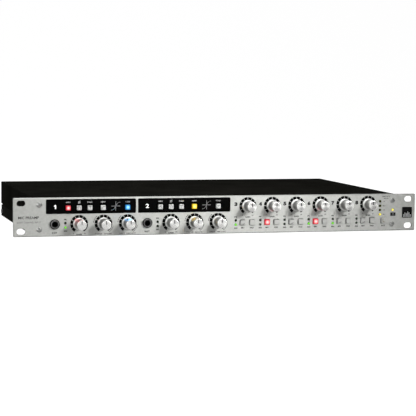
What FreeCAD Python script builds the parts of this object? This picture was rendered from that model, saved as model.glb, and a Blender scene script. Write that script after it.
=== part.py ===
import FreeCAD, Part
import os
from math import cos, pi, radians, sin, sqrt

# Eight-channel microphone preamp in a one-unit, 19 inch rack case.  Millimetres.
# Origin: centre of the four rack slots, on the front panel's rear face.
# +X to the right seen from the front, +Y to the rear, +Z up.

V = FreeCAD.Vector

# ------------------------------------------------------------------ front panel
PANEL_W = 482.6
PANEL_H = 44.0
PANEL_T = 3.2
PANEL_FRONT = -PANEL_T
PANEL_CORNER_R = 1.3
PANEL_CHAMFER = 1.0

SLOT_PITCH_X = 465.1
SLOT_PITCH_Z = 31.75
SLOT_LENGTH = 10.3
SLOT_R = 3.4

PANEL_SCREW_X = 212.0
PANEL_SCREW_Z = 14.0
PANEL_SCREW_HEAD_R = 3.1
PANEL_SCREW_HEAD_T = 1.5
PANEL_SCREW_RIM = 0.3                 # straight edge below the domed head
PANEL_SCREW_DOME_R = 3.9
PANEL_SCREW_HEX = 2.5
PANEL_SCREW_HEX_DEPTH = 1.1
PANEL_SCREW_SHANK_R = 1.9
PANEL_SCREW_GAP = 0.1
PANEL_SCREW_END_Y = 6.0

STRIP_X = [(-204.5, -100.6), (-98.3, 11.5)]
STRIP_Z = (3.5, 20.3)
STRIP_T = 1.0
STRIP_CORNER_R = 1.5
STRIP_GAP = 0.1

BADGE_X = (224.7, 237.5)
BADGE_Z = (-6.7, 6.2)
BADGE_T = 1.2
BADGE_POCKET = 0.6
BADGE_CORNER_R = 0.8
BADGE_EDGE = 0.25

# ------------------------------------------------------------------ channel layout
MODULE_PITCH = 107.05                 # channel 2 repeats channel 1 this far to the right
FIRST_JACK_X = -194.5
FIRST_LED_X = -182.1
FIRST_KNOB_X = {"gain": -166.5, "tone": -138.4, "drive": -110.3}
FIRST_BUTTON_X = {
    "phantom": -179.0,
    "phase": -166.5,
    "pad": -154.2,
    "filter": -138.8,
    "colour": -110.35,
}
LOWER_KNOB_Z = -8.0
STRIP_BUTTON_Z = 10.3

CHANNEL_3_X = 32.5
CHANNEL_PITCH = 29.8
UPPER_KNOB_Z = 10.0
SMALL_BUTTON_DX = {"phantom": -6.1, "pad": 5.2}
SMALL_BUTTON_Z = -9.3
LED_DX = -14.3
LED_Z = (-6.95, -11.85)

CLOCK_BUTTON = (201.0, -9.4)
CLOCK_LED_X = 196.8
CLOCK_LED_Z = (13.3, 7.9, 2.9, -2.3)
POWER_LED = (212.8, 3.0)

# ------------------------------------------------------------------ knobs, buttons, LEDs
KNOB_GAP = 0.8                        # skirt to panel
KNOB_HEIGHT = 18.5                    # panel to front disc
KNOB_SKIRT_R = 6.9
KNOB_SKIRT_T = 0.9
KNOB_SKIRT_EDGE = 0.3
KNOB_FLARE_L = 3.1                    # from the skirt's front edge to the straight body
KNOB_FLARE_MIDDLE = (6.12, 1.05)      # radius, and distance in front of the skirt
KNOB_BODY_R = 5.85
KNOB_TOP_R = 5.45
KNOB_TOP_EDGE_R = 0.7
POINTER_W = 0.9
POINTER_Z = (0.5, 4.7)                # above the knob's axis
POINTER_DEPTH = 0.4
SHAFT_R = 3.0
SHAFT_END_Y = 8.0
SHAFT_IN_KNOB = 3.5                   # knob's front disc to the shaft's end
SHAFT_HOLE_R = 3.8
RUNNING_GAP = 0.05
CONTROL_FRONT_Y = 7.0                 # front of the bodies behind the knobs and buttons
POT_HALF_W = 4.9
POT_TAIL = 0.6
POT_BUSH_WALL = 0.6
POT_BUSH_FRONT = 0.4                  # behind the panel's face
POT_BORE_END_Y = 8.4

STRIP_BUTTON_W = 5.1
SMALL_BUTTON_W = 6.1
BUTTON_GAP = 0.4
BUTTON_PROUD = 2.0
BUTTON_REAR_Y = 2.2
BUTTON_TRAVEL = 1.5
BUTTON_EDGE = 0.35
BUTTON_CORNER_R = 0.4
BUTTON_HOLE_CORNER_R = 0.5
STEM_W = 3.0
STEM_END_Y = 9.5
SWITCH_HALF_W = 3.5
SWITCH_WELL_GAP = 0.2
SWITCH_WELL_SPARE = 0.6               # left behind the plunger when it is pressed home

LED_R = 1.5
LED_HOLE_R = 1.65
LED_FLANGE_R = 1.9
LED_PROUD = 0.9
LED_FLANGE_Y = (1.6, 2.6)
LED_DOME_STEPS = 5
LED_LEAD = 0.5
LED_LEAD_PITCH = 2.54

JACK_BORE_R = 3.25
JACK_BUSH_R = 4.5
JACK_NUT_R = 5.7
JACK_NUT_T = 2.0
JACK_PROUD = 2.2
JACK_NUT_EDGE = 0.4
JACK_HOLE_GAP = 0.15
JACK_BORE_END_Y = 27.0
JACK_BODY_END_Y = 29.0
JACK_BODY_HALF_W = 8.0
JACK_BODY_HALF_H = 6.0

# ------------------------------------------------------------------ case
SHEET = 1.2
CASE_HALF_W = 217.8
CASE_TOP_Z = 21.8
CASE_D = 274.0                        # panel's rear face to the rear panel's outer face
COVER_EDGE_Z = -5.8                   # lower edge of the cover's side flanges
COVER_EDGE_R = 1.6
SEAM_H = 2.1
FLOOR_TOP_Z = -CASE_TOP_Z + SHEET
TRAY_HALF_W = CASE_HALF_W - 0.2
TRAY_INNER_HALF_W = TRAY_HALF_W - 2 * SHEET
TRAY_TAB_X = 206.0                    # inner edge of the turned-in front tabs
TRAY_TAB_Z = 8.0                      # the tabs leave the middle of the height open
TRAY_LIP_H = 3.0
COVER_GAP = 0.2
REAR_LIP_Z = 15.0
SIDE_HOLE_R = 1.1
SIDE_HOLES = [(177.0, -14.9), (177.0, -18.4)]
REAR_FLANGE_L = 20.0
REAR_FLANGE_SCREW = (262.0, -15.5)

# ------------------------------------------------------------------ boards
BOARD_T = 1.6
CONTROL_BOARD_Y = 14.0
CONTROL_BOARD_HALF_W = 213.0
CONTROL_BOARD_HALF_H = 17.5
CONTROL_BOARD_BOTTOM = -13.5
JACK_CUT_OUT = 17.0
JACK_CUT_OUT_DROP = 2.0               # so that each cut-out runs out through the lower edge
MAIN_BOARD_Z = -16.0
MAIN_BOARD_TOP = MAIN_BOARD_Z + BOARD_T
MAIN_BOARD_X = (-208.0, 122.0)
MAIN_BOARD_Y = (22.0, 262.0)
SUPPLY_X = (128.0, 211.0)
SUPPLY_Y = (120.0, 245.0)
PILLAR_AF = 5.5
PILLAR_BORE_R = 1.47
PILLAR_BORE_START_Y = 6.0

RELAY_SIZE = (7.4, 15.0, 9.5)         # width, depth and height of what stands on the boards
RELAY_Y = 226.0
CAPACITOR_R = 4.0
CAPACITOR_H = 11.5
CAPACITOR_Y = (208.0, 190.0, 88.0)
CAPACITOR_DX = (-3.0, 8.0)
AMPLIFIER_SIZE = (6.2, 10.0, 1.8)
AMPLIFIER_Y = (172.0, 108.0)
PAIR_DX = (0.0, 10.0)
CONVERTER_SIZE = (20.0, 20.0, 1.6)
CONVERTER_PLACES = [(50.0, y) for y in (90.0, 150.0, 200.0)]
DRIVER_SIZE = (14.0, 14.0, 1.6)
DRIVER_PLACES = [(88.0, y) for y in (120.0, 175.0, 225.0)]
FILTER_CAPACITOR_R = 5.0
FILTER_CAPACITOR_H = 12.5
FILTER_CAPACITOR_X = 108.0
CRYSTAL_SIZE = (13.0, 5.0, 4.0)
CRYSTAL_PLACE = (50.0, 120.0)
TRANSFORMER_X = (-166.5, -56.5)
TRANSFORMER_Y = 138.0
TRANSFORMER_CORE = (24.0, 12.0, 20.0)
TRANSFORMER_YOKE = 4.0
TRANSFORMER_LEG_W = 7.0
TRANSFORMER_WINDOW_W = 16.0
TRANSFORMER_COIL = (15.2, 20.0, 11.6)

SUPPLY_TRANSFORMER = (158.0, 205.0, 34.0, 30.0, 24.0)     # x, y, width, depth, height
SUPPLY_FILTER = (200.0, 225.0, 7.0, 22.0, 8.0)
HEAT_SINK = (196.0, 170.0, 22.0, 60.0, 24.0)
HEAT_SINK_BASE = 4.0
HEAT_SINK_SLOT_W = 2.6
HEAT_SINK_SLOT_X = (188.5, 193.5, 198.5, 203.5)
RESERVOIR_R = 8.0
RESERVOIR_H = 25.0
RESERVOIR_PLACES = [(142.0, 160.0), (160.0, 160.0)]
SMOOTHING_R = 5.0
SMOOTHING_H = 16.0
SMOOTHING_PLACES = [(x, 138.0) for x in (142.0, 155.0, 168.0)]

RIBBON_X = (-140.0, -40.0, 78.0)
RIBBON_W = 40.0
RIBBON_T = 0.9
RIBBON_START_Y = 21.0
RIBBON_START_Z = -3.5
RIBBON_BEND_R = 5.0
RIBBON_END_Y = 41.0
RIBBON_PLUG_Z = RIBBON_START_Z - RIBBON_BEND_R
RIBBON_PLUG_W = RIBBON_W + 4.0
RIBBON_PLUG_H = 5.0
RIBBON_PLUG_D = 6.0

# ------------------------------------------------------------------ rear connectors
SOCKET_Z = -1.0
MIC_SOCKET_FIRST_X = -195.0
MIC_SOCKET_PITCH = 27.5
MIC_SOCKET_COUNT = 8
LINE_CONNECTOR_X = 46.0
OPTICAL_X = (85.0, 100.0)
CLOCK_CONNECTOR_X = 117.0
INLET_X = 159.0
SWITCH_X = 199.5

MIC_FLANGE_W = 26.0
MIC_FLANGE_H = 31.0
MIC_FLANGE_T = 1.6
MIC_FLANGE_CORNER_R = 3.0
MIC_BARREL_R = 11.8
MIC_COLLAR_R = 9.7
MIC_COLLAR_DEPTH = 11.0
MIC_INSERT_R = 7.8
MIC_INSERT_SET_BACK = 1.0
MIC_PIN_R = 1.3
MIC_PIN_CIRCLE_R = 5.5
MIC_PIN_DEPTH = 9.0
MIC_PIN_ANGLES = (30, 150, 270)
MIC_DEPTH = 26.0
MIC_BORE_WALL = 2.0

LINE_FLANGE_HALF_W = 26.5
LINE_FLANGE_HALF_H = 6.2
LINE_FLANGE_T = 1.0
LINE_BODY_W = 41.0
LINE_BODY_H = 11.0
LINE_BODY_DEPTH = 10.0
LINE_SHELL_TOP = 19.5                 # half widths of the D-shaped shell
LINE_SHELL_BOTTOM = 18.1
LINE_SHELL_HALF_H = 4.2
LINE_SHELL_L = 6.0
LINE_SHELL_CORNER_R = 1.8
LINE_ROWS = ((1.42, 13), (-1.42, 12))                     # height of the row, number of contacts
LINE_PIN_PITCH = 2.77
LINE_PIN_R = 0.55
LINE_PIN_DEPTH = 5.0
LINE_SCREW_DX = 23.5
LINE_NUT_AF = 5.0
LINE_NUT_L = 5.0
LINE_THREAD_R = 1.2

OPTICAL_W = 11.0
OPTICAL_RIM_HALF_W = 6.6
OPTICAL_PROUD = 1.2
OPTICAL_MOUTH = 8.4
OPTICAL_DEPTH = 9.5
OPTICAL_BODY_DEPTH = 14.0
FERRULE_R = 1.25
FERRULE_L = 3.0

COAX_THREAD_R = 6.2
COAX_THREAD_L = 4.0
COAX_THREAD_DEPTH = 12.0
COAX_BARREL_R = 4.8
COAX_BORE_R = 4.05
COAX_BORE_DEPTH = 8.0
COAX_LENGTH = 14.0
COAX_LUG_R = 1.0
COAX_LUG_H = 0.8
COAX_LUG_SET_BACK = 4.5
COAX_CORE_R = 2.3
COAX_CONTACT_R = 0.7
COAX_NUT_AF = 14.0
COAX_NUT_T = 2.5

INLET_FLANGE_HALF_W = 25.0
INLET_FLANGE_HALF_H = 11.2
INLET_FLANGE_T = 2.0
INLET_BODY_W = 27.5
INLET_BODY_H = 19.8
INLET_BODY_DEPTH = 22.0
INLET_MOUTH_W = 24.4
INLET_MOUTH_H = 16.6
INLET_MOUTH_DEPTH = 17.0
INLET_MOUTH_CORNER = 4.0
INLET_PIN_W = 2.0
INLET_PIN_H = 4.0
INLET_PIN_SET_BACK = 1.5
INLET_PINS = ((-7.0, -1.0), (7.0, -1.0), (0.0, 3.0))      # from the inlet's centre

SWITCH_BEZEL_HALF_W = 7.6
SWITCH_BEZEL_HALF_H = 10.6
SWITCH_BEZEL_T = 2.0
SWITCH_BEZEL_EDGE = 0.5
SWITCH_BODY_W = 13.2
SWITCH_BODY_H = 19.2
SWITCH_BODY_DEPTH = 20.0
SWITCH_CAVITY_W = 10.4
SWITCH_CAVITY_H = 16.4
SWITCH_CAVITY_DEPTH = 10.0
ROCKER_W = 9.8
ROCKER_R = 8.0
ROCKER_PIVOT_Y = CASE_D - 1.0
ROCKER_TILT = 10.0
ROCKER_PIN_R = 1.0
ROCKER_REAR = 4.0                     # behind the pivot
ROCKER_REAR_HALF_H = 5.0
ROCKER_SHOULDER = 0.5
ROCKER_END = 5.8                      # proud of the pivot at the two ends
ROCKER_WAIST = 3.4                    # and at the middle

M3_HEAD_R = 2.75
M3_HEAD_T = 1.8
M3_HEAD_EDGE_R = 0.6
M3_RECESS_L = 3.0
M3_RECESS_W = 0.6
M3_RECESS_DEPTH = 0.8
M3_SHANK_R = 1.45
M3_HOLE_R = 1.6


# ------------------------------------------------------------------ shape helpers
def box(x0, x1, y0, y1, z0, z1):
    return Part.makeBox(x1 - x0, y1 - y0, z1 - z0, V(x0, y0, z0))


def rod(x, z, radius, y0, y1):
    """Round bar along Y."""
    return Part.makeCylinder(radius, y1 - y0, V(x, y0, z), V(0, 1, 0))


def post(x, y, radius, z0, z1):
    """Round bar along Z."""
    return Part.makeCylinder(radius, z1 - z0, V(x, y, z0), V(0, 0, 1))


def centred_box(x, z, width, height, y0, y1):
    return box(x - width / 2, x + width / 2, y0, y1, z - height / 2, z + height / 2)


def side_box(side, inner, outer, y0, y1, z0, z1):
    """Box between two distances from the middle, on the left (-1) or the right (1)."""
    x0, x1 = sorted((side * inner, side * outer))
    return box(x0, x1, y0, y1, z0, z1)


def hex_bar(centre, across_flats, length, along):
    """Hexagonal bar from centre, along a unit vector."""
    radius = across_flats / sqrt(3.0)
    corners = [V(radius * cos(k * pi / 3), radius * sin(k * pi / 3), 0) for k in range(7)]
    bar = Part.Face(Part.makePolygon(corners)).extrude(V(0, 0, length))
    bar.Placement = FreeCAD.Placement(centre, FreeCAD.Rotation(V(0, 0, 1), along))
    return bar


def rounded_plate(x0, x1, z0, z1, y0, y1, radius):
    """Plate facing Y, with its four corners rounded."""
    plate = box(x0, x1, y0, y1, z0, z1)
    corners = [e for e in plate.Edges if abs(e.Vertexes[0].Y - e.Vertexes[1].Y) > 1e-6]
    return plate.makeFillet(radius, corners)


def square_plate(x, z, width, y0, y1, radius):
    half = width / 2
    return rounded_plate(x - half, x + half, z - half, z + half, y0, y1, radius)


def chamfer_face(solid, y, size):
    """Bevel every edge that lies in the plane at y."""
    edges = [e for e in solid.Edges if all(abs(v.Y - y) < 1e-6 for v in e.Vertexes)]
    return solid.makeChamfer(size, edges)


def lines(*points):
    """Straight edges through (radius, y) points."""
    return Part.makePolygon([V(r, y, 0) for r, y in points]).Edges


def arc(*points):
    """Arc through three (radius, y) points."""
    return [Part.Arc(*[V(r, y, 0) for r, y in points]).toShape()]


def turned(x, z, edges):
    """Solid of revolution about a Y axis; the edges close a half section that touches the axis."""
    solid = Part.Face(Part.Wire(edges)).revolve(V(0, 0, 0), V(0, 1, 0), 360)
    solid.translate(V(x, 0, z))
    return solid


def ring_edges(solid, y):
    """Closed circular edges that lie in the plane at y."""
    return [e for e in solid.Edges if e.Closed and abs(e.CenterOfMass.y - y) < 1e-6]


def joined(first, *others):
    return first.fuse(list(others)).removeSplitter()


def pan_screw(origin, inward, shank_length):
    """M3 pan-head screw: origin is under the head, inward points along the shank."""
    outward = V(inward) * -1
    head = Part.makeCylinder(M3_HEAD_R, M3_HEAD_T, origin, outward)
    top = [e for e in head.Edges if e.Closed and (e.CenterOfMass - origin).Length > M3_HEAD_T / 2]
    head = head.makeFillet(M3_HEAD_EDGE_R, top)
    shank = Part.makeCylinder(M3_SHANK_R, shank_length, origin, inward)
    slot_dir = V(0, 0, 1) if abs(inward.z) < 0.5 else V(1, 0, 0)
    cross_dir = outward.cross(slot_dir)
    recess = []
    for along in (slot_dir, cross_dir):
        side = outward.cross(along)
        length = along * M3_RECESS_L
        width = side * M3_RECESS_W
        corner = origin + outward * (M3_HEAD_T - M3_RECESS_DEPTH) - (length + width) * 0.5
        base = Part.Face(Part.makePolygon([
            corner, corner + length, corner + length + width, corner + width, corner]))
        recess.append(base.extrude(outward * 1.0))
    return joined(head, shank).cut(recess)


def save(node, *solids):
    Part.Compound(list(solids)).exportStep("parts/" + node + ".step")


# ------------------------------------------------------------------ places of repeated pieces
def knob_places():
    """Node name to (x, z) for every knob."""
    places = {}
    for channel in (1, 2):
        for function, x in FIRST_KNOB_X.items():
            node = "%s_knob_%d" % (function, channel)
            places[node] = (x + (channel - 1) * MODULE_PITCH, LOWER_KNOB_Z)
    for channel in range(3, 9):
        places["gain_knob_%d" % channel] = (channel_x(channel), UPPER_KNOB_Z)
    return places


def button_places():
    """Node name to (x, z) for every push button."""
    places = {}
    for channel in (1, 2):
        for function, x in FIRST_BUTTON_X.items():
            node = "%s_button_%d" % (function, channel)
            places[node] = (x + (channel - 1) * MODULE_PITCH, STRIP_BUTTON_Z)
    for channel in range(3, 9):
        for function, dx in SMALL_BUTTON_DX.items():
            node = "%s_button_%d" % (function, channel)
            places[node] = (channel_x(channel) + dx, SMALL_BUTTON_Z)
    places["clock_button"] = CLOCK_BUTTON
    return places


def channel_x(channel):
    return CHANNEL_3_X + (channel - 3) * CHANNEL_PITCH


def led_places():
    """(x, z) of every indicator light."""
    columns = [FIRST_LED_X, FIRST_LED_X + MODULE_PITCH]
    columns += [channel_x(channel) + LED_DX for channel in range(3, 9)]
    places = [(x, z) for x in columns for z in LED_Z]
    places += [(CLOCK_LED_X, z) for z in CLOCK_LED_Z]
    places.append(POWER_LED)
    return places


def jack_places():
    return [(FIRST_JACK_X + k * MODULE_PITCH, LOWER_KNOB_Z) for k in (0, 1)]


def mic_socket_places():
    return [MIC_SOCKET_FIRST_X + k * MIC_SOCKET_PITCH for k in range(MIC_SOCKET_COUNT)]


def panel_screw_places():
    return [(sx * PANEL_SCREW_X, sz * PANEL_SCREW_Z) for sx in (-1, 1) for sz in (-1, 1)]


CONTROL_PILLARS = [(-207.0, 0.0), (-98.9, 0.0), (8.0, 0.0), (107.0, 4.0), (205.6, 1.5)]
MAIN_PILLARS = [(x, y) for x in (-200.0, -92.0, 14.0, 116.0) for y in (52.0, 242.0)]
SUPPLY_PILLARS = [(x, y) for x in (133.0, 206.0) for y in (126.0, 239.0)]
COVER_SCREW_X = (-150.0, 0.0, 150.0)
COVER_SCREW_Z = 18.2
INLET_SCREW_DX = 20.0
MIC_SCREWS = [(-9.5, 12.0), (9.5, -12.0)]


# ------------------------------------------------------------------ front panel and its trim
def front_panel():
    half_w = PANEL_W / 2
    half_h = PANEL_H / 2
    plate = rounded_plate(-half_w, half_w, -half_h, half_h, PANEL_FRONT, 0, PANEL_CORNER_R)
    plate = chamfer_face(plate, PANEL_FRONT, PANEL_CHAMFER)
    front = PANEL_FRONT - 1
    cuts = []
    for sx in (-1, 1):
        for sz in (-1, 1):
            x = sx * SLOT_PITCH_X / 2
            z = sz * SLOT_PITCH_Z / 2
            half_l = SLOT_LENGTH / 2
            cuts.append(rounded_plate(x - half_l, x + half_l, z - SLOT_R, z + SLOT_R,
                                      front, 1, SLOT_R - 0.001))
    cuts += [rod(x, z, PANEL_SCREW_SHANK_R + PANEL_SCREW_GAP, front, 1)
             for x, z in panel_screw_places()]
    cuts += [rod(x, z, SHAFT_HOLE_R, front, 1) for x, z in knob_places().values()]
    cuts += [button_hole(x, z) for x, z in button_places().values()]
    cuts += [rod(x, z, LED_HOLE_R, front, 1) for x, z in led_places()]
    cuts += [rod(x, z, JACK_BUSH_R + JACK_HOLE_GAP, front, 1) for x, z in jack_places()]
    for x0, x1 in STRIP_X:
        cuts.append(rounded_plate(x0, x1, *STRIP_Z, front, PANEL_FRONT + STRIP_T, STRIP_CORNER_R))
    cuts.append(rounded_plate(*BADGE_X, *BADGE_Z, front, PANEL_FRONT + BADGE_POCKET, BADGE_CORNER_R))
    return plate.cut(cuts)


def button_width(z):
    """The caps in the label strips are smaller than those below the upper knobs."""
    return STRIP_BUTTON_W if z > 0 else SMALL_BUTTON_W


def button_hole(x, z):
    width = button_width(z) + 2 * BUTTON_GAP
    return square_plate(x, z, width, PANEL_FRONT - 1, 1, BUTTON_HOLE_CORNER_R)


def panel_screw(x, z):
    """Button-head screw with a hexagon recess."""
    face = PANEL_FRONT - PANEL_SCREW_HEAD_T
    centre_depth = sqrt(PANEL_SCREW_DOME_R ** 2 - PANEL_SCREW_HEAD_R ** 2) - PANEL_SCREW_RIM
    dome = Part.makeSphere(PANEL_SCREW_DOME_R, V(x, PANEL_FRONT + centre_depth, z))
    head = rod(x, z, PANEL_SCREW_HEAD_R, face, PANEL_FRONT).common(dome)
    shank = rod(x, z, PANEL_SCREW_SHANK_R, PANEL_FRONT, PANEL_SCREW_END_Y)
    recess = hex_bar(V(x, face - 0.1, z), PANEL_SCREW_HEX, PANEL_SCREW_HEX_DEPTH + 0.1, V(0, 1, 0))
    return joined(head, shank).cut(recess)


def label_strip(x0, x1):
    z0, z1 = STRIP_Z
    strip = rounded_plate(x0 + STRIP_GAP, x1 - STRIP_GAP, z0 + STRIP_GAP, z1 - STRIP_GAP,
                          PANEL_FRONT, PANEL_FRONT + STRIP_T, STRIP_CORNER_R - STRIP_GAP)
    holes = [button_hole(x, z) for x, z in button_places().values() if x0 < x < x1 and z > 0]
    return strip.cut(holes)


def badge_plate():
    x0, x1 = BADGE_X
    z0, z1 = BADGE_Z
    gap = STRIP_GAP
    front = PANEL_FRONT + BADGE_POCKET - BADGE_T
    plate = rounded_plate(x0 + gap, x1 - gap, z0 + gap, z1 - gap,
                          front, PANEL_FRONT + BADGE_POCKET, BADGE_CORNER_R - gap)
    return chamfer_face(plate, front, BADGE_EDGE)


# ------------------------------------------------------------------ controls
def knob(x, z):
    """Turned knob with a flared skirt and a pointer groove, and the shaft that it turns."""
    rear = PANEL_FRONT - KNOB_GAP
    front = PANEL_FRONT - KNOB_HEIGHT
    flare_rear = rear - KNOB_SKIRT_T
    flare_front = flare_rear - KNOB_FLARE_L
    middle_r, middle_dy = KNOB_FLARE_MIDDLE
    body = turned(x, z, lines(
        (0, front), (0, rear), (KNOB_SKIRT_R - KNOB_SKIRT_EDGE, rear),
        (KNOB_SKIRT_R, rear - KNOB_SKIRT_EDGE), (KNOB_SKIRT_R, flare_rear)
    ) + arc(
        (KNOB_SKIRT_R, flare_rear), (middle_r, flare_rear - middle_dy), (KNOB_BODY_R, flare_front)
    ) + lines(
        (KNOB_BODY_R, flare_front), (KNOB_TOP_R, front), (0, front)))
    body = body.makeFillet(KNOB_TOP_EDGE_R, ring_edges(body, front))
    half = POINTER_W / 2
    pointer = box(x - half, x + half, front - 1, front + POINTER_DEPTH, z + POINTER_Z[0], z + POINTER_Z[1])
    shaft_front = front + SHAFT_IN_KNOB
    shaft = rod(x, z, SHAFT_R, shaft_front, SHAFT_END_Y)
    bore = rod(x, z, SHAFT_R, shaft_front, rear + 1)
    return body.cut([pointer, bore]), shaft


def potentiometer_body(x, z):
    """Board-mounted body with the bush that carries a knob's shaft."""
    half = POT_HALF_W
    body = box(x - half, x + half, CONTROL_FRONT_Y, CONTROL_BOARD_Y, z - half - POT_TAIL, z + half)
    bush_r = SHAFT_R + RUNNING_GAP + POT_BUSH_WALL
    bush = rod(x, z, bush_r, PANEL_FRONT + POT_BUSH_FRONT, CONTROL_FRONT_Y)
    bore = rod(x, z, SHAFT_R + RUNNING_GAP, PANEL_FRONT - 1, POT_BORE_END_Y)
    return joined(body, bush).cut(bore)


def push_button(x, z):
    """Square cap and the plunger behind it."""
    front = PANEL_FRONT - BUTTON_PROUD
    cap = square_plate(x, z, button_width(z), front, BUTTON_REAR_Y, BUTTON_CORNER_R)
    cap = chamfer_face(cap, front, BUTTON_EDGE)
    stem = centred_box(x, z, STEM_W, STEM_W, BUTTON_REAR_Y, STEM_END_Y)
    return cap, stem


def switch_body(x, z):
    width = 2 * SWITCH_HALF_W
    well_w = STEM_W + 2 * SWITCH_WELL_GAP
    well_end = STEM_END_Y + BUTTON_TRAVEL + SWITCH_WELL_SPARE
    body = centred_box(x, z, width, width, CONTROL_FRONT_Y, CONTROL_BOARD_Y)
    return body.cut(centred_box(x, z, well_w, well_w, CONTROL_FRONT_Y - 1, well_end))


def led(x, z):
    """Round lens with a domed front, and its two leads."""
    front = PANEL_FRONT - LED_PROUD
    flange_front, flange_rear = LED_FLANGE_Y
    angles = [k * pi / 2 / LED_DOME_STEPS for k in range(LED_DOME_STEPS + 1)]
    dome = [(LED_R * sin(a), front + LED_R * (1 - cos(a))) for a in angles]
    lens = turned(x, z, lines(
        *dome, (LED_R, flange_front), (LED_FLANGE_R, flange_front), (LED_FLANGE_R, flange_rear),
        (0, flange_rear), (0, front)))
    leads = [centred_box(x + side * LED_LEAD_PITCH / 2, z, LED_LEAD, LED_LEAD, flange_rear, CONTROL_BOARD_Y)
             for side in (-1, 1)]
    return [lens] + leads


def instrument_jack(x, z):
    """Socket body with its threaded bush, and the ring nut on the panel."""
    mouth = PANEL_FRONT - JACK_PROUD
    nut_front = PANEL_FRONT - JACK_NUT_T
    body = centred_box(x, z, 2 * JACK_BODY_HALF_W, 2 * JACK_BODY_HALF_H, 0, JACK_BODY_END_Y)
    bush = rod(x, z, JACK_BUSH_R, mouth, 0)
    bore = rod(x, z, JACK_BORE_R, mouth - 1, JACK_BORE_END_Y)
    nut = chamfer_face(rod(x, z, JACK_NUT_R, nut_front, PANEL_FRONT), nut_front, JACK_NUT_EDGE)
    nut = nut.cut(rod(x, z, JACK_BUSH_R, mouth - 1, 1))
    return [joined(body, bush).cut(bore), nut]


# ------------------------------------------------------------------ case
def chassis_tray():
    """Folded tray: floor, joggled side walls and turned-in front tabs."""
    seam_bottom = COVER_EDGE_Z - SEAM_H
    wall_top = CASE_TOP_Z - SHEET - COVER_GAP
    end_y = CASE_D - SHEET - COVER_GAP
    middle = TRAY_HALF_W - SHEET
    floor = box(-TRAY_HALF_W, TRAY_HALF_W, 0, CASE_D, -CASE_TOP_Z, FLOOR_TOP_Z)
    front_lip = box(-TRAY_TAB_X, TRAY_TAB_X, 0, SHEET, FLOOR_TOP_Z, FLOOR_TOP_Z + TRAY_LIP_H)
    pieces = [front_lip]
    for side in (-1, 1):
        lower_wall = side_box(side, middle, TRAY_HALF_W, 0, end_y, FLOOR_TOP_Z, seam_bottom)
        joggle = side_box(side, TRAY_INNER_HALF_W, TRAY_HALF_W, 0, end_y,
                          seam_bottom - SHEET, seam_bottom)
        upper_wall = side_box(side, TRAY_INNER_HALF_W, middle, 0, end_y,
                              seam_bottom - SHEET, wall_top)
        upper_tab = side_box(side, TRAY_TAB_X, TRAY_INNER_HALF_W + 0.1, 0, SHEET, TRAY_TAB_Z, wall_top)
        lower_tab = side_box(side, TRAY_TAB_X, middle + 0.1, 0, SHEET, FLOOR_TOP_Z, -TRAY_TAB_Z)
        pieces += [lower_wall, joggle, upper_wall, upper_tab, lower_tab]
    tray = joined(floor, *pieces)
    cuts = [rod(x, z, PANEL_SCREW_SHANK_R + RUNNING_GAP, -1, SHEET + 1)
            for x, z in panel_screw_places()]
    for side in (-1, 1):
        cuts += [side_hole(side, y, z, SIDE_HOLE_R) for y, z in SIDE_HOLES]
        cuts.append(side_hole(side, *REAR_FLANGE_SCREW, M3_HOLE_R))
    return tray.cut(cuts)


def side_hole(side, y, z, radius):
    """Tool for a hole through one side of the case."""
    start = V(side * (CASE_HALF_W - 4.0), y, z)
    return Part.makeCylinder(radius, 6, start, V(side, 0, 0))


def top_cover():
    """Folded cover: top, long side flanges and a short rear lip."""
    lip_y = CASE_D + COVER_GAP
    rear = lip_y + SHEET
    below = COVER_EDGE_Z - 1
    underside = CASE_TOP_Z - SHEET
    outer = box(-CASE_HALF_W, CASE_HALF_W, 0, rear, COVER_EDGE_Z, CASE_TOP_Z)
    long_edges = [e for e in outer.Edges
                  if all(abs(v.Z - CASE_TOP_Z) < 1e-6 for v in e.Vertexes)
                  and abs(e.Vertexes[0].Y - e.Vertexes[1].Y) > 1]
    outer = outer.makeFillet(COVER_EDGE_R, long_edges)
    inner_half = CASE_HALF_W - SHEET
    inside = box(-inner_half, inner_half, -1, lip_y, below, underside)
    below_lip = box(-CASE_HALF_W - 1, CASE_HALF_W + 1, CASE_D - 0.3, rear + 1, below, REAR_LIP_Z)
    lip_ends = [side_box(side, TRAY_INNER_HALF_W - 1, CASE_HALF_W + 1, lip_y - 0.5, rear + 1,
                         below, underside) for side in (-1, 1)]
    holes = [rod(x, COVER_SCREW_Z, M3_HOLE_R, lip_y - 1, rear + 1) for x in COVER_SCREW_X]
    return outer.cut([inside, below_lip] + lip_ends + holes)


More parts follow.
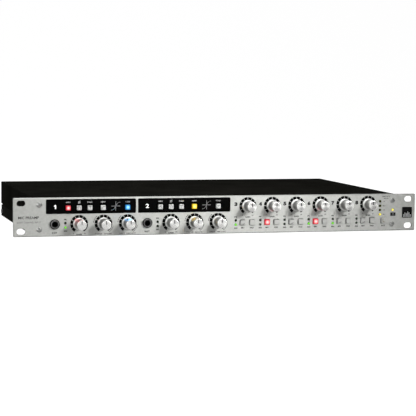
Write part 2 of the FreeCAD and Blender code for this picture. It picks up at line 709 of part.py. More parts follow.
def rear_panel():
    """Flat panel with two forward flanges, cut out for its connectors."""
    inner = CASE_D - SHEET
    half_w = TRAY_INNER_HALF_W + 0.9
    plate = box(-half_w, half_w, inner, CASE_D, FLOOR_TOP_Z, CASE_TOP_Z - SHEET - 0.1)
    flange_top = COVER_EDGE_Z - SEAM_H - SHEET - COVER_GAP
    flanges = [side_box(side, half_w - SHEET, half_w, inner - REAR_FLANGE_L, inner,
                        FLOOR_TOP_Z, flange_top) for side in (-1, 1)]
    through = (inner - 1, CASE_D + 1)
    z = SOCKET_Z
    round_holes = [(x, z, MIC_BARREL_R + 0.2) for x in mic_socket_places()]
    round_holes += [(x + dx, z + dz, M3_HOLE_R) for x in mic_socket_places() for dx, dz in MIC_SCREWS]
    round_holes += [(LINE_CONNECTOR_X + side * LINE_SCREW_DX, z, M3_HOLE_R) for side in (-1, 1)]
    round_holes += [(INLET_X + side * INLET_SCREW_DX, z, M3_HOLE_R) for side in (-1, 1)]
    round_holes.append((CLOCK_CONNECTOR_X, z, COAX_THREAD_R + 0.15))
    round_holes += [(x, COVER_SCREW_Z, M3_HOLE_R) for x in COVER_SCREW_X]
    cuts = [rod(x, hole_z, radius, *through) for x, hole_z, radius in round_holes]
    cuts.append(centred_box(LINE_CONNECTOR_X, z, LINE_BODY_W + 0.4, LINE_BODY_H + 0.4, *through))
    cuts += [centred_box(x, z, OPTICAL_W + 0.3, OPTICAL_W + 0.3, *through) for x in OPTICAL_X]
    cuts.append(centred_box(INLET_X, z, INLET_BODY_W + 0.4, INLET_BODY_H + 0.4, *through))
    cuts.append(centred_box(SWITCH_X, z, SWITCH_BODY_W + 0.2, SWITCH_BODY_H + 0.2, *through))
    cuts += [side_hole(side, *REAR_FLANGE_SCREW, M3_HOLE_R) for side in (-1, 1)]
    return joined(plate, *flanges).cut(cuts)


# ------------------------------------------------------------------ rear connectors
def mic_socket(x):
    """Combined microphone and line socket: flange, barrel, and insert with a central jack bore."""
    z = SOCKET_Z
    face = CASE_D + MIC_FLANGE_T
    half_w = MIC_FLANGE_W / 2
    half_h = MIC_FLANGE_H / 2
    flange = rounded_plate(x - half_w, x + half_w, z - half_h, z + half_h, CASE_D, face,
                           MIC_FLANGE_CORNER_R)
    barrel = rod(x, z, MIC_BARREL_R, CASE_D - MIC_DEPTH, CASE_D)
    collar = rod(x, z, MIC_COLLAR_R, face - MIC_COLLAR_DEPTH, face + 1)
    insert = rod(x, z, MIC_INSERT_R, face - MIC_COLLAR_DEPTH - 1, face - MIC_INSERT_SET_BACK)
    cuts = [collar.cut(insert), rod(x, z, JACK_BORE_R, CASE_D - MIC_DEPTH + MIC_BORE_WALL, face + 1)]
    for angle in MIC_PIN_ANGLES:
        pin_x = x + MIC_PIN_CIRCLE_R * cos(radians(angle))
        pin_z = z + MIC_PIN_CIRCLE_R * sin(radians(angle))
        cuts.append(rod(pin_x, pin_z, MIC_PIN_R, face - MIC_PIN_DEPTH, face + 1))
    cuts += [rod(x + dx, z + dz, M3_HOLE_R, CASE_D - 1, face + 1) for dx, dz in MIC_SCREWS]
    return joined(flange, barrel).cut(cuts)


def line_connector():
    """Multi-pin connector: flange, D-shaped shell, pin holes and two jack screws."""
    x = LINE_CONNECTOR_X
    z = SOCKET_Z
    flange_face = CASE_D + LINE_FLANGE_T
    face = flange_face + LINE_SHELL_L
    flange = rounded_plate(x - LINE_FLANGE_HALF_W, x + LINE_FLANGE_HALF_W, z - LINE_FLANGE_HALF_H,
                           z + LINE_FLANGE_HALF_H, CASE_D, flange_face, 1.0)
    body = centred_box(x, z, LINE_BODY_W, LINE_BODY_H, CASE_D - LINE_BODY_DEPTH, CASE_D)
    outline = [V(x - LINE_SHELL_TOP, flange_face, z + LINE_SHELL_HALF_H),
               V(x + LINE_SHELL_TOP, flange_face, z + LINE_SHELL_HALF_H),
               V(x + LINE_SHELL_BOTTOM, flange_face, z - LINE_SHELL_HALF_H),
               V(x - LINE_SHELL_BOTTOM, flange_face, z - LINE_SHELL_HALF_H)]
    shell = Part.Face(Part.makePolygon(outline + outline[:1])).extrude(V(0, LINE_SHELL_L, 0))
    corners = [e for e in shell.Edges if abs(e.Vertexes[0].Y - e.Vertexes[1].Y) > 1]
    shell = shell.makeFillet(LINE_SHELL_CORNER_R, corners)
    holes = []
    for row_z, count in LINE_ROWS:
        for k in range(count):
            hole_x = x + (k - (count - 1) / 2) * LINE_PIN_PITCH
            holes.append(rod(hole_x, z + row_z, LINE_PIN_R, face - LINE_PIN_DEPTH, face + 1))
    screw_places = [x + side * LINE_SCREW_DX for side in (-1, 1)]
    holes += [rod(screw_x, z, M3_HOLE_R, CASE_D - 1, CASE_D + 2) for screw_x in screw_places]
    return [joined(flange, body, shell).cut(holes)] + [jack_screw(screw_x, z) for screw_x in screw_places]


def jack_screw(x, z):
    """Hexagonal post with a threaded hole, on a stud through the rear panel."""
    base = CASE_D + LINE_FLANGE_T
    nut = hex_bar(V(x, base, z), LINE_NUT_AF, LINE_NUT_L, V(0, 1, 0))
    stud = rod(x, z, 1.5, CASE_D - 6, base)
    return joined(nut, stud).cut(rod(x, z, LINE_THREAD_R, base + 0.5, base + LINE_NUT_L + 1))


def optical_socket(x):
    """Square socket and the ferrule at the bottom of its mouth."""
    z = SOCKET_Z
    front = CASE_D + OPTICAL_PROUD
    mouth_end = front - OPTICAL_DEPTH
    half = OPTICAL_RIM_HALF_W
    body = centred_box(x, z, OPTICAL_W, OPTICAL_W, CASE_D - OPTICAL_BODY_DEPTH, front)
    rim = rounded_plate(x - half, x + half, z - half, z + half, CASE_D, front, 0.8)
    mouth = centred_box(x, z, OPTICAL_MOUTH, OPTICAL_MOUTH, mouth_end, front + 1)
    ferrule = rod(x, z, FERRULE_R, mouth_end, mouth_end + FERRULE_L)
    return joined(body, rim).cut(mouth), ferrule


def clock_connector():
    """Bayonet coaxial connector with its nut, barrel, lugs and centre contact."""
    x = CLOCK_CONNECTOR_X
    z = SOCKET_Z
    tip = CASE_D + COAX_LENGTH
    bore_end = tip - COAX_BORE_DEPTH
    thread_tip = CASE_D + COAX_THREAD_L
    thread = rod(x, z, COAX_THREAD_R, CASE_D - COAX_THREAD_DEPTH, thread_tip)
    barrel = rod(x, z, COAX_BARREL_R, thread_tip, tip)
    lug_reach = COAX_BARREL_R + COAX_LUG_H
    lugs = Part.makeCylinder(COAX_LUG_R, 2 * lug_reach, V(x - lug_reach, tip - COAX_LUG_SET_BACK, z),
                             V(1, 0, 0))
    bore = rod(x, z, COAX_BORE_R, bore_end, tip + 1)
    core = rod(x, z, COAX_CORE_R, bore_end, tip - 2).cut(rod(x, z, COAX_CONTACT_R, bore_end + 1, tip))
    nut = hex_bar(V(x, CASE_D, z), COAX_NUT_AF, COAX_NUT_T, V(0, 1, 0))
    nut = nut.cut(rod(x, z, COAX_THREAD_R, CASE_D - 1, thread_tip))
    return joined(thread, barrel, lugs).cut(bore), core, nut


def mains_inlet():
    """Three-pin inlet with a screw flange."""
    x = INLET_X
    z = SOCKET_Z
    face = CASE_D + INLET_FLANGE_T
    mouth_end = face - INLET_MOUTH_DEPTH
    flange = rounded_plate(x - INLET_FLANGE_HALF_W, x + INLET_FLANGE_HALF_W, z - INLET_FLANGE_HALF_H,
                           z + INLET_FLANGE_HALF_H, CASE_D, face, 3.0)
    body = centred_box(x, z, INLET_BODY_W, INLET_BODY_H, CASE_D - INLET_BODY_DEPTH, CASE_D)
    half_w = INLET_MOUTH_W / 2
    half_h = INLET_MOUTH_H / 2
    corner = INLET_MOUTH_CORNER
    outline = [(-half_w, -half_h), (half_w, -half_h), (half_w, half_h - corner),
               (half_w - corner, half_h), (-half_w + corner, half_h), (-half_w, half_h - corner)]
    points = [V(x + dx, mouth_end, z + dz) for dx, dz in outline]
    mouth = Part.Face(Part.makePolygon(points + points[:1])).extrude(V(0, INLET_MOUTH_DEPTH + 1, 0))
    holes = [rod(x + side * INLET_SCREW_DX, z, M3_HOLE_R, CASE_D - 1, face + 1) for side in (-1, 1)]
    pins = [centred_box(x + dx, z + dz, INLET_PIN_W, INLET_PIN_H, mouth_end, face - INLET_PIN_SET_BACK)
            for dx, dz in INLET_PINS]
    return [joined(flange, body).cut([mouth] + holes)] + pins


def switch_housing():
    """Bezel and body, with the well and the two pivot holes of the rocker."""
    x = SWITCH_X
    z = SOCKET_Z
    face = CASE_D + SWITCH_BEZEL_T
    bezel = rounded_plate(x - SWITCH_BEZEL_HALF_W, x + SWITCH_BEZEL_HALF_W, z - SWITCH_BEZEL_HALF_H,
                          z + SWITCH_BEZEL_HALF_H, CASE_D, face, 1.0)
    bezel = chamfer_face(bezel, face, SWITCH_BEZEL_EDGE)
    body = centred_box(x, z, SWITCH_BODY_W, SWITCH_BODY_H, CASE_D - SWITCH_BODY_DEPTH, CASE_D)
    cavity = centred_box(x, z, SWITCH_CAVITY_W, SWITCH_CAVITY_H, CASE_D - SWITCH_CAVITY_DEPTH, face + 1)
    pivot = Part.makeCylinder(ROCKER_PIN_R + RUNNING_GAP, SWITCH_BODY_W,
                              V(x - SWITCH_BODY_W / 2, ROCKER_PIVOT_Y, z), V(1, 0, 0))
    return joined(bezel, body).cut([cavity, pivot])


def power_rocker():
    """Rocker with two sloping faces and round ends, on two pivot pins; stored switched on."""
    x = SWITCH_X
    z = SOCKET_Z
    y = ROCKER_PIVOT_Y
    left = x - ROCKER_W / 2
    reach = ROCKER_R + 1
    disc = Part.makeCylinder(ROCKER_R, ROCKER_W, V(left, y, z), V(1, 0, 0))
    section = [(-ROCKER_REAR, -ROCKER_REAR_HALF_H), (-ROCKER_REAR, ROCKER_REAR_HALF_H),
               (ROCKER_SHOULDER, reach), (ROCKER_END, reach), (ROCKER_WAIST, 0),
               (ROCKER_END, -reach), (ROCKER_SHOULDER, -reach)]
    points = [V(left, y + dy, z + dz) for dy, dz in section]
    wedge = Part.Face(Part.makePolygon(points + points[:1])).extrude(V(ROCKER_W, 0, 0))
    pin_length = SWITCH_BODY_W - 0.6
    pins = Part.makeCylinder(ROCKER_PIN_R, pin_length, V(x - pin_length / 2, y, z), V(1, 0, 0))
    rocker = joined(disc.common(wedge), pins)
    rocker.rotate(V(x, y, z), V(1, 0, 0), ROCKER_TILT)
    return rocker


# ------------------------------------------------------------------ boards and what they carry
def drilled(board, places):
    """Board with its fixing holes."""
    return board.cut([post(x, y, M3_HOLE_R, MAIN_BOARD_Z - 1, MAIN_BOARD_TOP + 1) for x, y in places])


def block(x, y, width, depth, height, base=MAIN_BOARD_TOP):
    """Rectangular component standing on a board."""
    return box(x - width / 2, x + width / 2, y - depth / 2, y + depth / 2, base, base + height)


def can(x, y, radius, height):
    """Round component standing on a board."""
    return post(x, y, radius, MAIN_BOARD_TOP, MAIN_BOARD_TOP + height)


def main_board():
    """Board with relays, capacitors and amplifiers by each socket, and the converters."""
    board = box(*MAIN_BOARD_X, *MAIN_BOARD_Y, MAIN_BOARD_Z, MAIN_BOARD_TOP)
    solids = [drilled(board, MAIN_PILLARS)]
    for x in mic_socket_places():
        for dx in PAIR_DX:
            solids.append(block(x + dx, RELAY_Y, *RELAY_SIZE))
            solids += [block(x + dx, y, *AMPLIFIER_SIZE) for y in AMPLIFIER_Y]
        solids += [can(x + dx, y, CAPACITOR_R, CAPACITOR_H) for dx in CAPACITOR_DX for y in CAPACITOR_Y]
    solids += [block(x, y, *CONVERTER_SIZE) for x, y in CONVERTER_PLACES]
    for x, y in DRIVER_PLACES:
        solids.append(block(x, y, *DRIVER_SIZE))
        solids.append(can(FILTER_CAPACITOR_X, y, FILTER_CAPACITOR_R, FILTER_CAPACITOR_H))
    solids.append(block(*CRYSTAL_PLACE, *CRYSTAL_SIZE))
    plug_height = RIBBON_PLUG_Z - MAIN_BOARD_TOP
    solids += [block(x, RIBBON_END_Y, RIBBON_PLUG_W, RIBBON_PLUG_D, plug_height) for x in RIBBON_X]
    return solids


def control_board():
    """Board behind the front panel, cut out round the jacks, with the ribbon plugs."""
    half_w = CONTROL_BOARD_HALF_W
    half_h = CONTROL_BOARD_HALF_H
    rear = CONTROL_BOARD_Y + BOARD_T
    board = box(-half_w, half_w, CONTROL_BOARD_Y, rear, CONTROL_BOARD_BOTTOM, half_h)
    cuts = [centred_box(x, z - JACK_CUT_OUT_DROP, JACK_CUT_OUT, JACK_CUT_OUT, CONTROL_BOARD_Y - 1, rear + 1)
            for x, z in jack_places()]
    cuts += [rod(x, z, M3_HOLE_R, CONTROL_BOARD_Y - 1, rear + 1) for x, z in CONTROL_PILLARS]
    plugs = [centred_box(x, RIBBON_START_Z, RIBBON_PLUG_W, RIBBON_PLUG_H, rear, RIBBON_START_Y)
             for x in RIBBON_X]
    return [board.cut(cuts)] + plugs


def ribbon_cable(x):
    """Flat cable: straight back from the control board, then one bend down to the main board."""
    bend_y = RIBBON_END_Y - RIBBON_BEND_R
    half = RIBBON_T / 2
    run = box(x - RIBBON_W / 2, x + RIBBON_W / 2, RIBBON_START_Y, bend_y,
              RIBBON_START_Z - half, RIBBON_START_Z + half)
    left = V(x - RIBBON_W / 2, bend_y, RIBBON_PLUG_Z)
    ring = Part.makeCylinder(RIBBON_BEND_R + half, RIBBON_W, left, V(1, 0, 0))
    ring = ring.cut(Part.makeCylinder(RIBBON_BEND_R - half, RIBBON_W, left, V(1, 0, 0)))
    quarter = box(left.x, left.x + RIBBON_W, bend_y, bend_y + 2 * RIBBON_BEND_R,
                  RIBBON_PLUG_Z, RIBBON_PLUG_Z + 2 * RIBBON_BEND_R)
    return joined(run, ring.common(quarter))


def output_transformer(x):
    """Laminated core with its winding, standing on the main board."""
    y = TRANSFORMER_Y
    width, depth, height = TRANSFORMER_CORE
    low = MAIN_BOARD_TOP + TRANSFORMER_YOKE
    high = MAIN_BOARD_TOP + height - TRANSFORMER_YOKE
    leg = box(x - TRANSFORMER_LEG_W / 2, x + TRANSFORMER_LEG_W / 2, y - depth / 2, y + depth / 2, low, high)
    window = box(x - TRANSFORMER_WINDOW_W / 2, x + TRANSFORMER_WINDOW_W / 2, y - depth, y + depth, low, high)
    core = joined(block(x, y, width, depth, height).cut(window), leg)
    coil_w, coil_d, coil_h = TRANSFORMER_COIL
    middle = (low + high) / 2
    coil = block(x, y, coil_w, coil_d, coil_h, middle - coil_h / 2).cut(leg)
    return core, coil


def power_supply():
    """Supply board with its transformer, reservoir capacitors and finned heat sink."""
    board = box(*SUPPLY_X, *SUPPLY_Y, MAIN_BOARD_Z, MAIN_BOARD_TOP)
    solids = [drilled(board, SUPPLY_PILLARS), block(*SUPPLY_TRANSFORMER), block(*SUPPLY_FILTER)]
    solids += [can(x, y, RESERVOIR_R, RESERVOIR_H) for x, y in RESERVOIR_PLACES]
    solids += [can(x, y, SMOOTHING_R, SMOOTHING_H) for x, y in SMOOTHING_PLACES]
    sink_x, sink_y, width, depth, height = HEAT_SINK
    slots = [block(x, sink_y, HEAT_SINK_SLOT_W, depth + 2, height, MAIN_BOARD_TOP + HEAT_SINK_BASE)
             for x in HEAT_SINK_SLOT_X]
    solids.append(block(sink_x, sink_y, width, depth, height).cut(slots))
    return solids


# ------------------------------------------------------------------ pillars and small screws
def pillars():
    """Hexagonal spacers under the boards and behind the front panel."""
    height = MAIN_BOARD_Z - FLOOR_TOP_Z
    solids = []
    for x, y in MAIN_PILLARS + SUPPLY_PILLARS:
        pillar = hex_bar(V(x, y, FLOOR_TOP_Z), PILLAR_AF, height, V(0, 0, 1))
        solids.append(pillar.cut(post(x, y, PILLAR_BORE_R, FLOOR_TOP_Z, MAIN_BOARD_Z + 1)))
    for x, z in CONTROL_PILLARS:
        pillar = hex_bar(V(x, 0, z), PILLAR_AF, CONTROL_BOARD_Y, V(0, 1, 0))
        solids.append(pillar.cut(rod(x, z, PILLAR_BORE_R, PILLAR_BORE_START_Y, CONTROL_BOARD_Y + 1)))
    return solids


def machine_screws():
    """M3 screws of the boards, the cover, the rear panel and its sockets."""
    down = V(0, 0, -1)
    forward = V(0, -1, 0)
    solids = [pan_screw(V(x, y, MAIN_BOARD_TOP), down, 5.5) for x, y in MAIN_PILLARS + SUPPLY_PILLARS]
    solids += [pan_screw(V(x, CONTROL_BOARD_Y + BOARD_T, z), forward, 7.0)
               for x, z in CONTROL_PILLARS]
    lip_face = CASE_D + COVER_GAP + SHEET
    solids += [pan_screw(V(x, lip_face, COVER_SCREW_Z), forward, 6.0) for x in COVER_SCREW_X]
    for x in mic_socket_places():
        solids += [pan_screw(V(x + dx, CASE_D + MIC_FLANGE_T, SOCKET_Z + dz), forward, 6.0)
                   for dx, dz in MIC_SCREWS]
    inlet_face = CASE_D + INLET_FLANGE_T
    solids += [pan_screw(V(INLET_X + side * INLET_SCREW_DX, inlet_face, SOCKET_Z), forward, 6.0)
               for side in (-1, 1)]
    y, z = REAR_FLANGE_SCREW
    solids += [pan_screw(V(side * TRAY_HALF_W, y, z), V(-side, 0, 0), 5.0) for side in (-1, 1)]
    return solids


# ------------------------------------------------------------------ write every node
os.makedirs("parts", exist_ok=True)

save("front_panel", front_panel())
save("label_strips", *[label_strip(x0, x1) for x0, x1 in STRIP_X])
save("badge_plate", badge_plate())
save("panel_screws", *[panel_screw(x, z) for x, z in panel_screw_places()])
for node, (x, z) in knob_places().items():
    save(node, *knob(x, z))
for node, (x, z) in button_places().items():
    save(node, *push_button(x, z))
save("potentiometer_bodies", *[potentiometer_body(x, z) for x, z in knob_places().values()])
save("button_switches", *[switch_body(x, z) for x, z in button_places().values()])
save("panel_leds", *[solid for x, z in led_places() for solid in led(x, z)])
save("instrument_jacks", *[solid for x, z in jack_places() for solid in instrument_jack(x, z)])
save("chassis_tray", chassis_tray())
save("top_cover", top_cover())
save("rear_panel", rear_panel())
save("mic_sockets", *[mic_socket(x) for x in mic_socket_places()])
save("line_connector", *line_connector())
save("optical_sockets", *[solid for x in OPTICAL_X for solid in optical_socket(x)])
save("clock_connector", *clock_connector())
save("mains_inlet", *mains_inlet())
save("switch_housing", switch_housing())
save("power_rocker", power_rocker())
save("main_board", *main_board())
save("control_board", *control_board())
save("ribbon_cables", *[ribbon_cable(x) for x in RIBBON_X])
save("output_transformers", *[solid for x in TRANSFORMER_X for solid in output_transformer(x)])
save("power_supply", *power_supply())
save("board_pillars", *pillars())
save("machine_screws", *machine_screws())
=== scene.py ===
import math

import bmesh
import bpy
import numpy as np
from mathutils import Matrix, Vector


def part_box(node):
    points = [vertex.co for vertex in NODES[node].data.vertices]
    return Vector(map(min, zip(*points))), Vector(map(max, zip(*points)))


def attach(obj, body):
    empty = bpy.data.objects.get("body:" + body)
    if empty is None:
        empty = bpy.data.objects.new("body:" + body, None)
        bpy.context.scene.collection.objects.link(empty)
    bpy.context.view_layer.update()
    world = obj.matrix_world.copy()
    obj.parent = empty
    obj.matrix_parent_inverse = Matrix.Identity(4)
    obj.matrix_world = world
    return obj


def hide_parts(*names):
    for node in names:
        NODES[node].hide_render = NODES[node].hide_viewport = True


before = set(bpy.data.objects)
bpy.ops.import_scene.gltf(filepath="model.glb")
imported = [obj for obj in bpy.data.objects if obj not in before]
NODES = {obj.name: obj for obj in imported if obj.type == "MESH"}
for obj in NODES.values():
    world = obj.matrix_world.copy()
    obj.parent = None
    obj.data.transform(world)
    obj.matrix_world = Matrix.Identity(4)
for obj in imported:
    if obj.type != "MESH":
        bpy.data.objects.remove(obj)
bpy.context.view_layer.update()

MM = 0.001                                             # lengths below are in millimetres if not said
ROOT = "chassis"                                       # the CAD body that doesn't move
MICRONS = 1e6                                          # in a metre


# ---------------------------------------------------------------- places, read from the frame
def middle(node):
    """Centre of a CAD node's box, in millimetres."""
    low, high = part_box(node)
    return (low + high) / 2 / MM


def islands(node):
    """(low, high) corners, in millimetres, of each separate solid of a CAD node."""
    mesh = NODES[node].data
    keys = {}
    point = [keys.setdefault(tuple(round(c * MICRONS) for c in v.co), len(keys)) for v in mesh.vertices]
    parent = list(range(len(keys)))

    def find(i):
        while parent[i] != i:
            parent[i] = parent[parent[i]]
            i = parent[i]
        return i

    for polygon in mesh.polygons:
        corners = [point[v] for v in polygon.vertices]
        for other in corners[1:]:
            parent[find(other)] = find(corners[0])
    boxes = {}
    for vertex, key in zip(mesh.vertices, point):
        group = find(key)
        low, high = boxes.setdefault(group, (vertex.co.copy(), vertex.co.copy()))
        for axis in range(3):
            low[axis] = min(low[axis], vertex.co[axis])
            high[axis] = max(high[axis], vertex.co[axis])
    return [(low / MM, high / MM) for low, high in boxes.values()]


PANEL_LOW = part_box("front_panel")[0] / MM
PANEL_Y = PANEL_LOW.y                                  # the panel's front face
STRIP_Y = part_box("label_strips")[0].y / MM
REAR_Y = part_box("rear_panel")[1].y / MM
FLOOR_Z = PANEL_LOW.z                                  # the object stands on its panel's lower edge
KNOBS = sorted(n for n in NODES if "_knob_" in n)
STRIP_BUTTONS = sorted(n for n in NODES if n.endswith(("_button_1", "_button_2")))
SMALL_BUTTONS = sorted(n for n in NODES if "button" in n and n not in STRIP_BUTTONS + ["button_switches"])
LENS_MIN_WIDTH = 2.5                                   # tells an LED's lens from its leads
LEDS = sorted(
    (round((low.x + high.x) / 2, 2), round((low.z + high.z) / 2, 2))
    for low, high in islands("panel_leds") if high.x - low.x > LENS_MIN_WIDTH)


# ---------------------------------------------------------------- camera, in metres
CAMERA_AZIMUTH = math.radians(-15.018)
CAMERA_ELEVATION = math.radians(4.868)
CAMERA_ROLL = math.radians(0.521)
CAMERA_DISTANCE = 1.85245
CAMERA_TARGET = Vector((-0.0146, 0.0, 0.00784))
CAMERA_LENS = 138.33                                   # millimetres, as its sensor
SENSOR = 36.0


def add_camera():
    """The photo's viewpoint, with its small roll."""
    back = Vector((math.sin(CAMERA_AZIMUTH) * math.cos(CAMERA_ELEVATION),
                   -math.cos(CAMERA_AZIMUTH) * math.cos(CAMERA_ELEVATION),
                   math.sin(CAMERA_ELEVATION)))
    right = (-back).cross(Vector((0, 0, 1))).normalized()
    up = right.cross(-back)
    rolled_right = right * math.cos(CAMERA_ROLL) + up * math.sin(CAMERA_ROLL)
    rolled_up = up * math.cos(CAMERA_ROLL) - right * math.sin(CAMERA_ROLL)
    data = bpy.data.cameras.new("camera")
    data.lens = CAMERA_LENS
    data.sensor_width = SENSOR
    camera = bpy.data.objects.new("camera", data)
    camera.matrix_world = Matrix.Translation(CAMERA_TARGET + back * CAMERA_DISTANCE) @ Matrix(
        (rolled_right, rolled_up, back)).transposed().to_4x4()
    bpy.context.scene.collection.objects.link(camera)
    bpy.context.scene.camera = camera


# ---------------------------------------------------------------- material helpers
LEAST_ROUGHNESS = 0.02


class Surface:
    """A Principled material whose colour, roughness and relief come from procedural nodes."""

    def __init__(self, name, colour, roughness, metallic=0.0):
        self.material = bpy.data.materials.new(name)
        self.material.use_nodes = True
        self.nodes = self.material.node_tree.nodes
        self.links = self.material.node_tree.links
        self.shader = next(n for n in self.nodes if n.type == "BSDF_PRINCIPLED")
        self.colour = colour
        self.roughness = roughness
        self.shader.inputs["Base Color"].default_value = (*colour, 1)
        self.shader.inputs["Roughness"].default_value = roughness
        self.shader.inputs["Metallic"].default_value = metallic
        coordinates = self.nodes.new("ShaderNodeTexCoord")
        self.object_point = coordinates.outputs["Object"]

    def mapped(self, scale, offset=(0, 0, 0)):
        """Object coordinates, moved by offset (metres) and then scaled."""
        shift = self.nodes.new("ShaderNodeVectorMath")
        shift.operation = "SUBTRACT"
        self.links.new(self.object_point, shift.inputs[0])
        shift.inputs[1].default_value = offset
        stretch = self.nodes.new("ShaderNodeVectorMath")
        stretch.operation = "MULTIPLY"
        self.links.new(shift.outputs[0], stretch.inputs[0])
        stretch.inputs[1].default_value = scale
        return stretch.outputs[0]

    def axes(self, vector):
        """The X, Y and Z sockets of a vector socket."""
        separate = self.nodes.new("ShaderNodeSeparateXYZ")
        self.links.new(vector, separate.inputs[0])
        return [separate.outputs[axis] for axis in "XYZ"]

    def grain(self, size, detail=3.0):
        """Noise from 0 to 1 with features of about size millimetres."""
        noise = self.nodes.new("ShaderNodeTexNoise")
        noise.inputs["Scale"].default_value = 1.0
        noise.inputs["Detail"].default_value = detail
        self.links.new(self.mapped((1 / (size * MM),) * 3), noise.inputs["Vector"])
        return noise.outputs["Fac"]

    def math(self, operation, first, second):
        """A Math node's output, from two numbers or sockets."""
        node = self.nodes.new("ShaderNodeMath")
        node.operation = operation
        for socket, value in zip(node.inputs, (first, second)):
            if isinstance(value, (int, float)):
                socket.default_value = value
            else:
                self.links.new(value, socket)
        return node.outputs[0]

    def radius(self, across, upright):
        """Distance from the Y axis."""
        squares = [self.math("POWER", value, 2.0) for value in (across, upright)]
        return self.math("SQRT", self.math("ADD", *squares), 0.0)

    def ranged(self, value, low, high, start=0.3, end=0.7):
        """Carries value from the range start to end over to the range low to high."""
        node = self.nodes.new("ShaderNodeMapRange")
        self.links.new(value, node.inputs["Value"])
        for name, number in (("From Min", start), ("From Max", end), ("To Min", low), ("To Max", high)):
            node.inputs[name].default_value = number
        return node.outputs["Result"]

    def blend(self, factor, first, second):
        """Colour between two colours or sockets."""
        node = self.nodes.new("ShaderNodeMix")
        node.data_type = "RGBA"
        self.links.new(factor, node.inputs[0])
        for socket, value in zip((node.inputs[6], node.inputs[7]), (first, second)):
            if isinstance(value, tuple):
                socket.default_value = (*value, 1)
            else:
                self.links.new(value, socket)
        return node.outputs[2]

    def tinted(self, colour, tone):
        """A colour socket made lighter or darker by a tone socket."""
        node = self.nodes.new("ShaderNodeVectorMath")
        node.operation = "SCALE"
        self.links.new(colour, node.inputs[0])
        self.links.new(tone, node.inputs["Scale"])
        return node.outputs[0]

    def vary_colour(self, value, amount):
        """Base colour, darker and lighter by amount as value goes from low to high."""
        dark = tuple(c * (1 - amount) for c in self.colour)
        light = tuple(min(1.0, c * (1 + amount)) for c in self.colour)
        factor = self.ranged(value, 0, 1)
        self.set_colour(self.blend(factor, dark, light))
        return self

    def set_colour(self, socket):
        """Takes the base colour from a socket."""
        self.links.new(socket, self.shader.inputs["Base Color"])
        return self

    def vary_roughness(self, value, amount):
        """Roughness, lower and higher by amount as value goes from low to high."""
        low = max(LEAST_ROUGHNESS, self.roughness - amount)
        self.links.new(self.ranged(value, low, self.roughness + amount), self.shader.inputs["Roughness"])
        return self

    def relief(self, value, depth):
        """Adds a bump depth millimetres deep."""
        bump = self.nodes.new("ShaderNodeBump")
        bump.inputs["Strength"].default_value = 1.0
        bump.inputs["Distance"].default_value = depth * MM
        self.links.new(value, bump.inputs["Height"])
        self.links.new(bump.outputs["Normal"], self.shader.inputs["Normal"])
        return self

    def set(self, **inputs):
        """Constant values, straight on the shader's own sockets."""
        for name, value in inputs.items():
            self.shader.inputs[name.replace("_", " ")].default_value = value
        return self


def anodised(name, colour):
    """Bead-blasted, anodised aluminium."""
    s = Surface(name, colour, 0.55, 1.0)
    s.vary_colour(s.grain(2.2, detail=4), 0.07)
    s.vary_roughness(s.grain(60, detail=2), 0.02)
    s.relief(s.grain(0.5, detail=3), 0.02)
    return s.material


DISC_DEPTH = (0.7, 1.1)                                # behind the front disc, where the satin side, painted darker as shade, begins
SKIRT_DEPTH = (13.2, 14.2)                             # and where the skirt, painted lighter as a highlight, begins
DISC_ROUGHNESS = 0.28
SIDE_ROUGHNESS = 0.34
SIDE_METALLIC = 0.80
TURNING_MARKS = 9.0                                    # to a millimetre
TURNING_TONE = (0.97, 1.03)
TURNING_ROUGHNESS = 0.05
TURNING_DEPTH = 0.004
TURNING_ANISOTROPY = 0.6


def turned_metal(name, colours, centre, front):
    """A knob turned about a Y axis through centre: finely ringed front disc, satin side painted darker as
    shade, skirt painted lighter as a highlight.
    """
    disc_colour, shaded_side_colour, skirt_highlight_colour = colours
    s = Surface(name, disc_colour, DISC_ROUGHNESS, 1.0)
    across, depth, upright = s.axes(s.mapped((1 / MM,) * 3, (centre.x * MM, 0, centre.z * MM)))
    place = s.nodes.new("ShaderNodeCombineXYZ")
    s.links.new(s.radius(across, upright), place.inputs["X"])
    s.links.new(depth, place.inputs["Y"])
    rings = s.nodes.new("ShaderNodeTexNoise")
    rings.noise_dimensions = "2D"
    rings.inputs["Scale"].default_value = TURNING_MARKS
    s.links.new(place.outputs[0], rings.inputs["Vector"])
    marks = rings.outputs["Fac"]
    side = s.ranged(depth, 0, 1, *(front + d for d in DISC_DEPTH))
    skirt = s.ranged(depth, 0, 1, *(front + d for d in SKIRT_DEPTH))
    # the side's darker colour is painted shade, and the skirt's lighter colour is a painted highlight
    colour = s.blend(skirt, s.blend(side, disc_colour, shaded_side_colour), skirt_highlight_colour)
    s.set_colour(s.tinted(colour, s.ranged(marks, *TURNING_TONE)))
    finish = s.ranged(side, DISC_ROUGHNESS, SIDE_ROUGHNESS, 0, 1)
    unevenness = s.ranged(marks, -TURNING_ROUGHNESS, TURNING_ROUGHNESS)
    s.links.new(s.math("ADD", finish, unevenness), s.shader.inputs["Roughness"])
    s.links.new(s.ranged(side, 1.0, SIDE_METALLIC, 0, 1), s.shader.inputs["Metallic"])
    s.relief(marks, TURNING_DEPTH)
    tangent = s.nodes.new("ShaderNodeTangent")
    tangent.direction_type = "RADIAL"
    tangent.axis = "Y"
    s.links.new(tangent.outputs["Tangent"], s.shader.inputs["Tangent"])
    return s.set(Anisotropic=TURNING_ANISOTROPY).material


def painted(name, colour, roughness, specular, grain=0.5, depth=0.02, mottle=0.12):
    """Powder coat with a fine orange peel over a slow change of tone."""
    s = Surface(name, colour, roughness)
    coarse = s.grain(35)
    fine = s.grain(grain, detail=4)
    s.vary_colour(s.math("MULTIPLY", s.math("ADD", coarse, fine), 0.5), mottle)
    s.vary_roughness(s.grain(18), 0.05)
    s.relief(fine, depth)
    return s.set(Specular_IOR_Level=specular).material


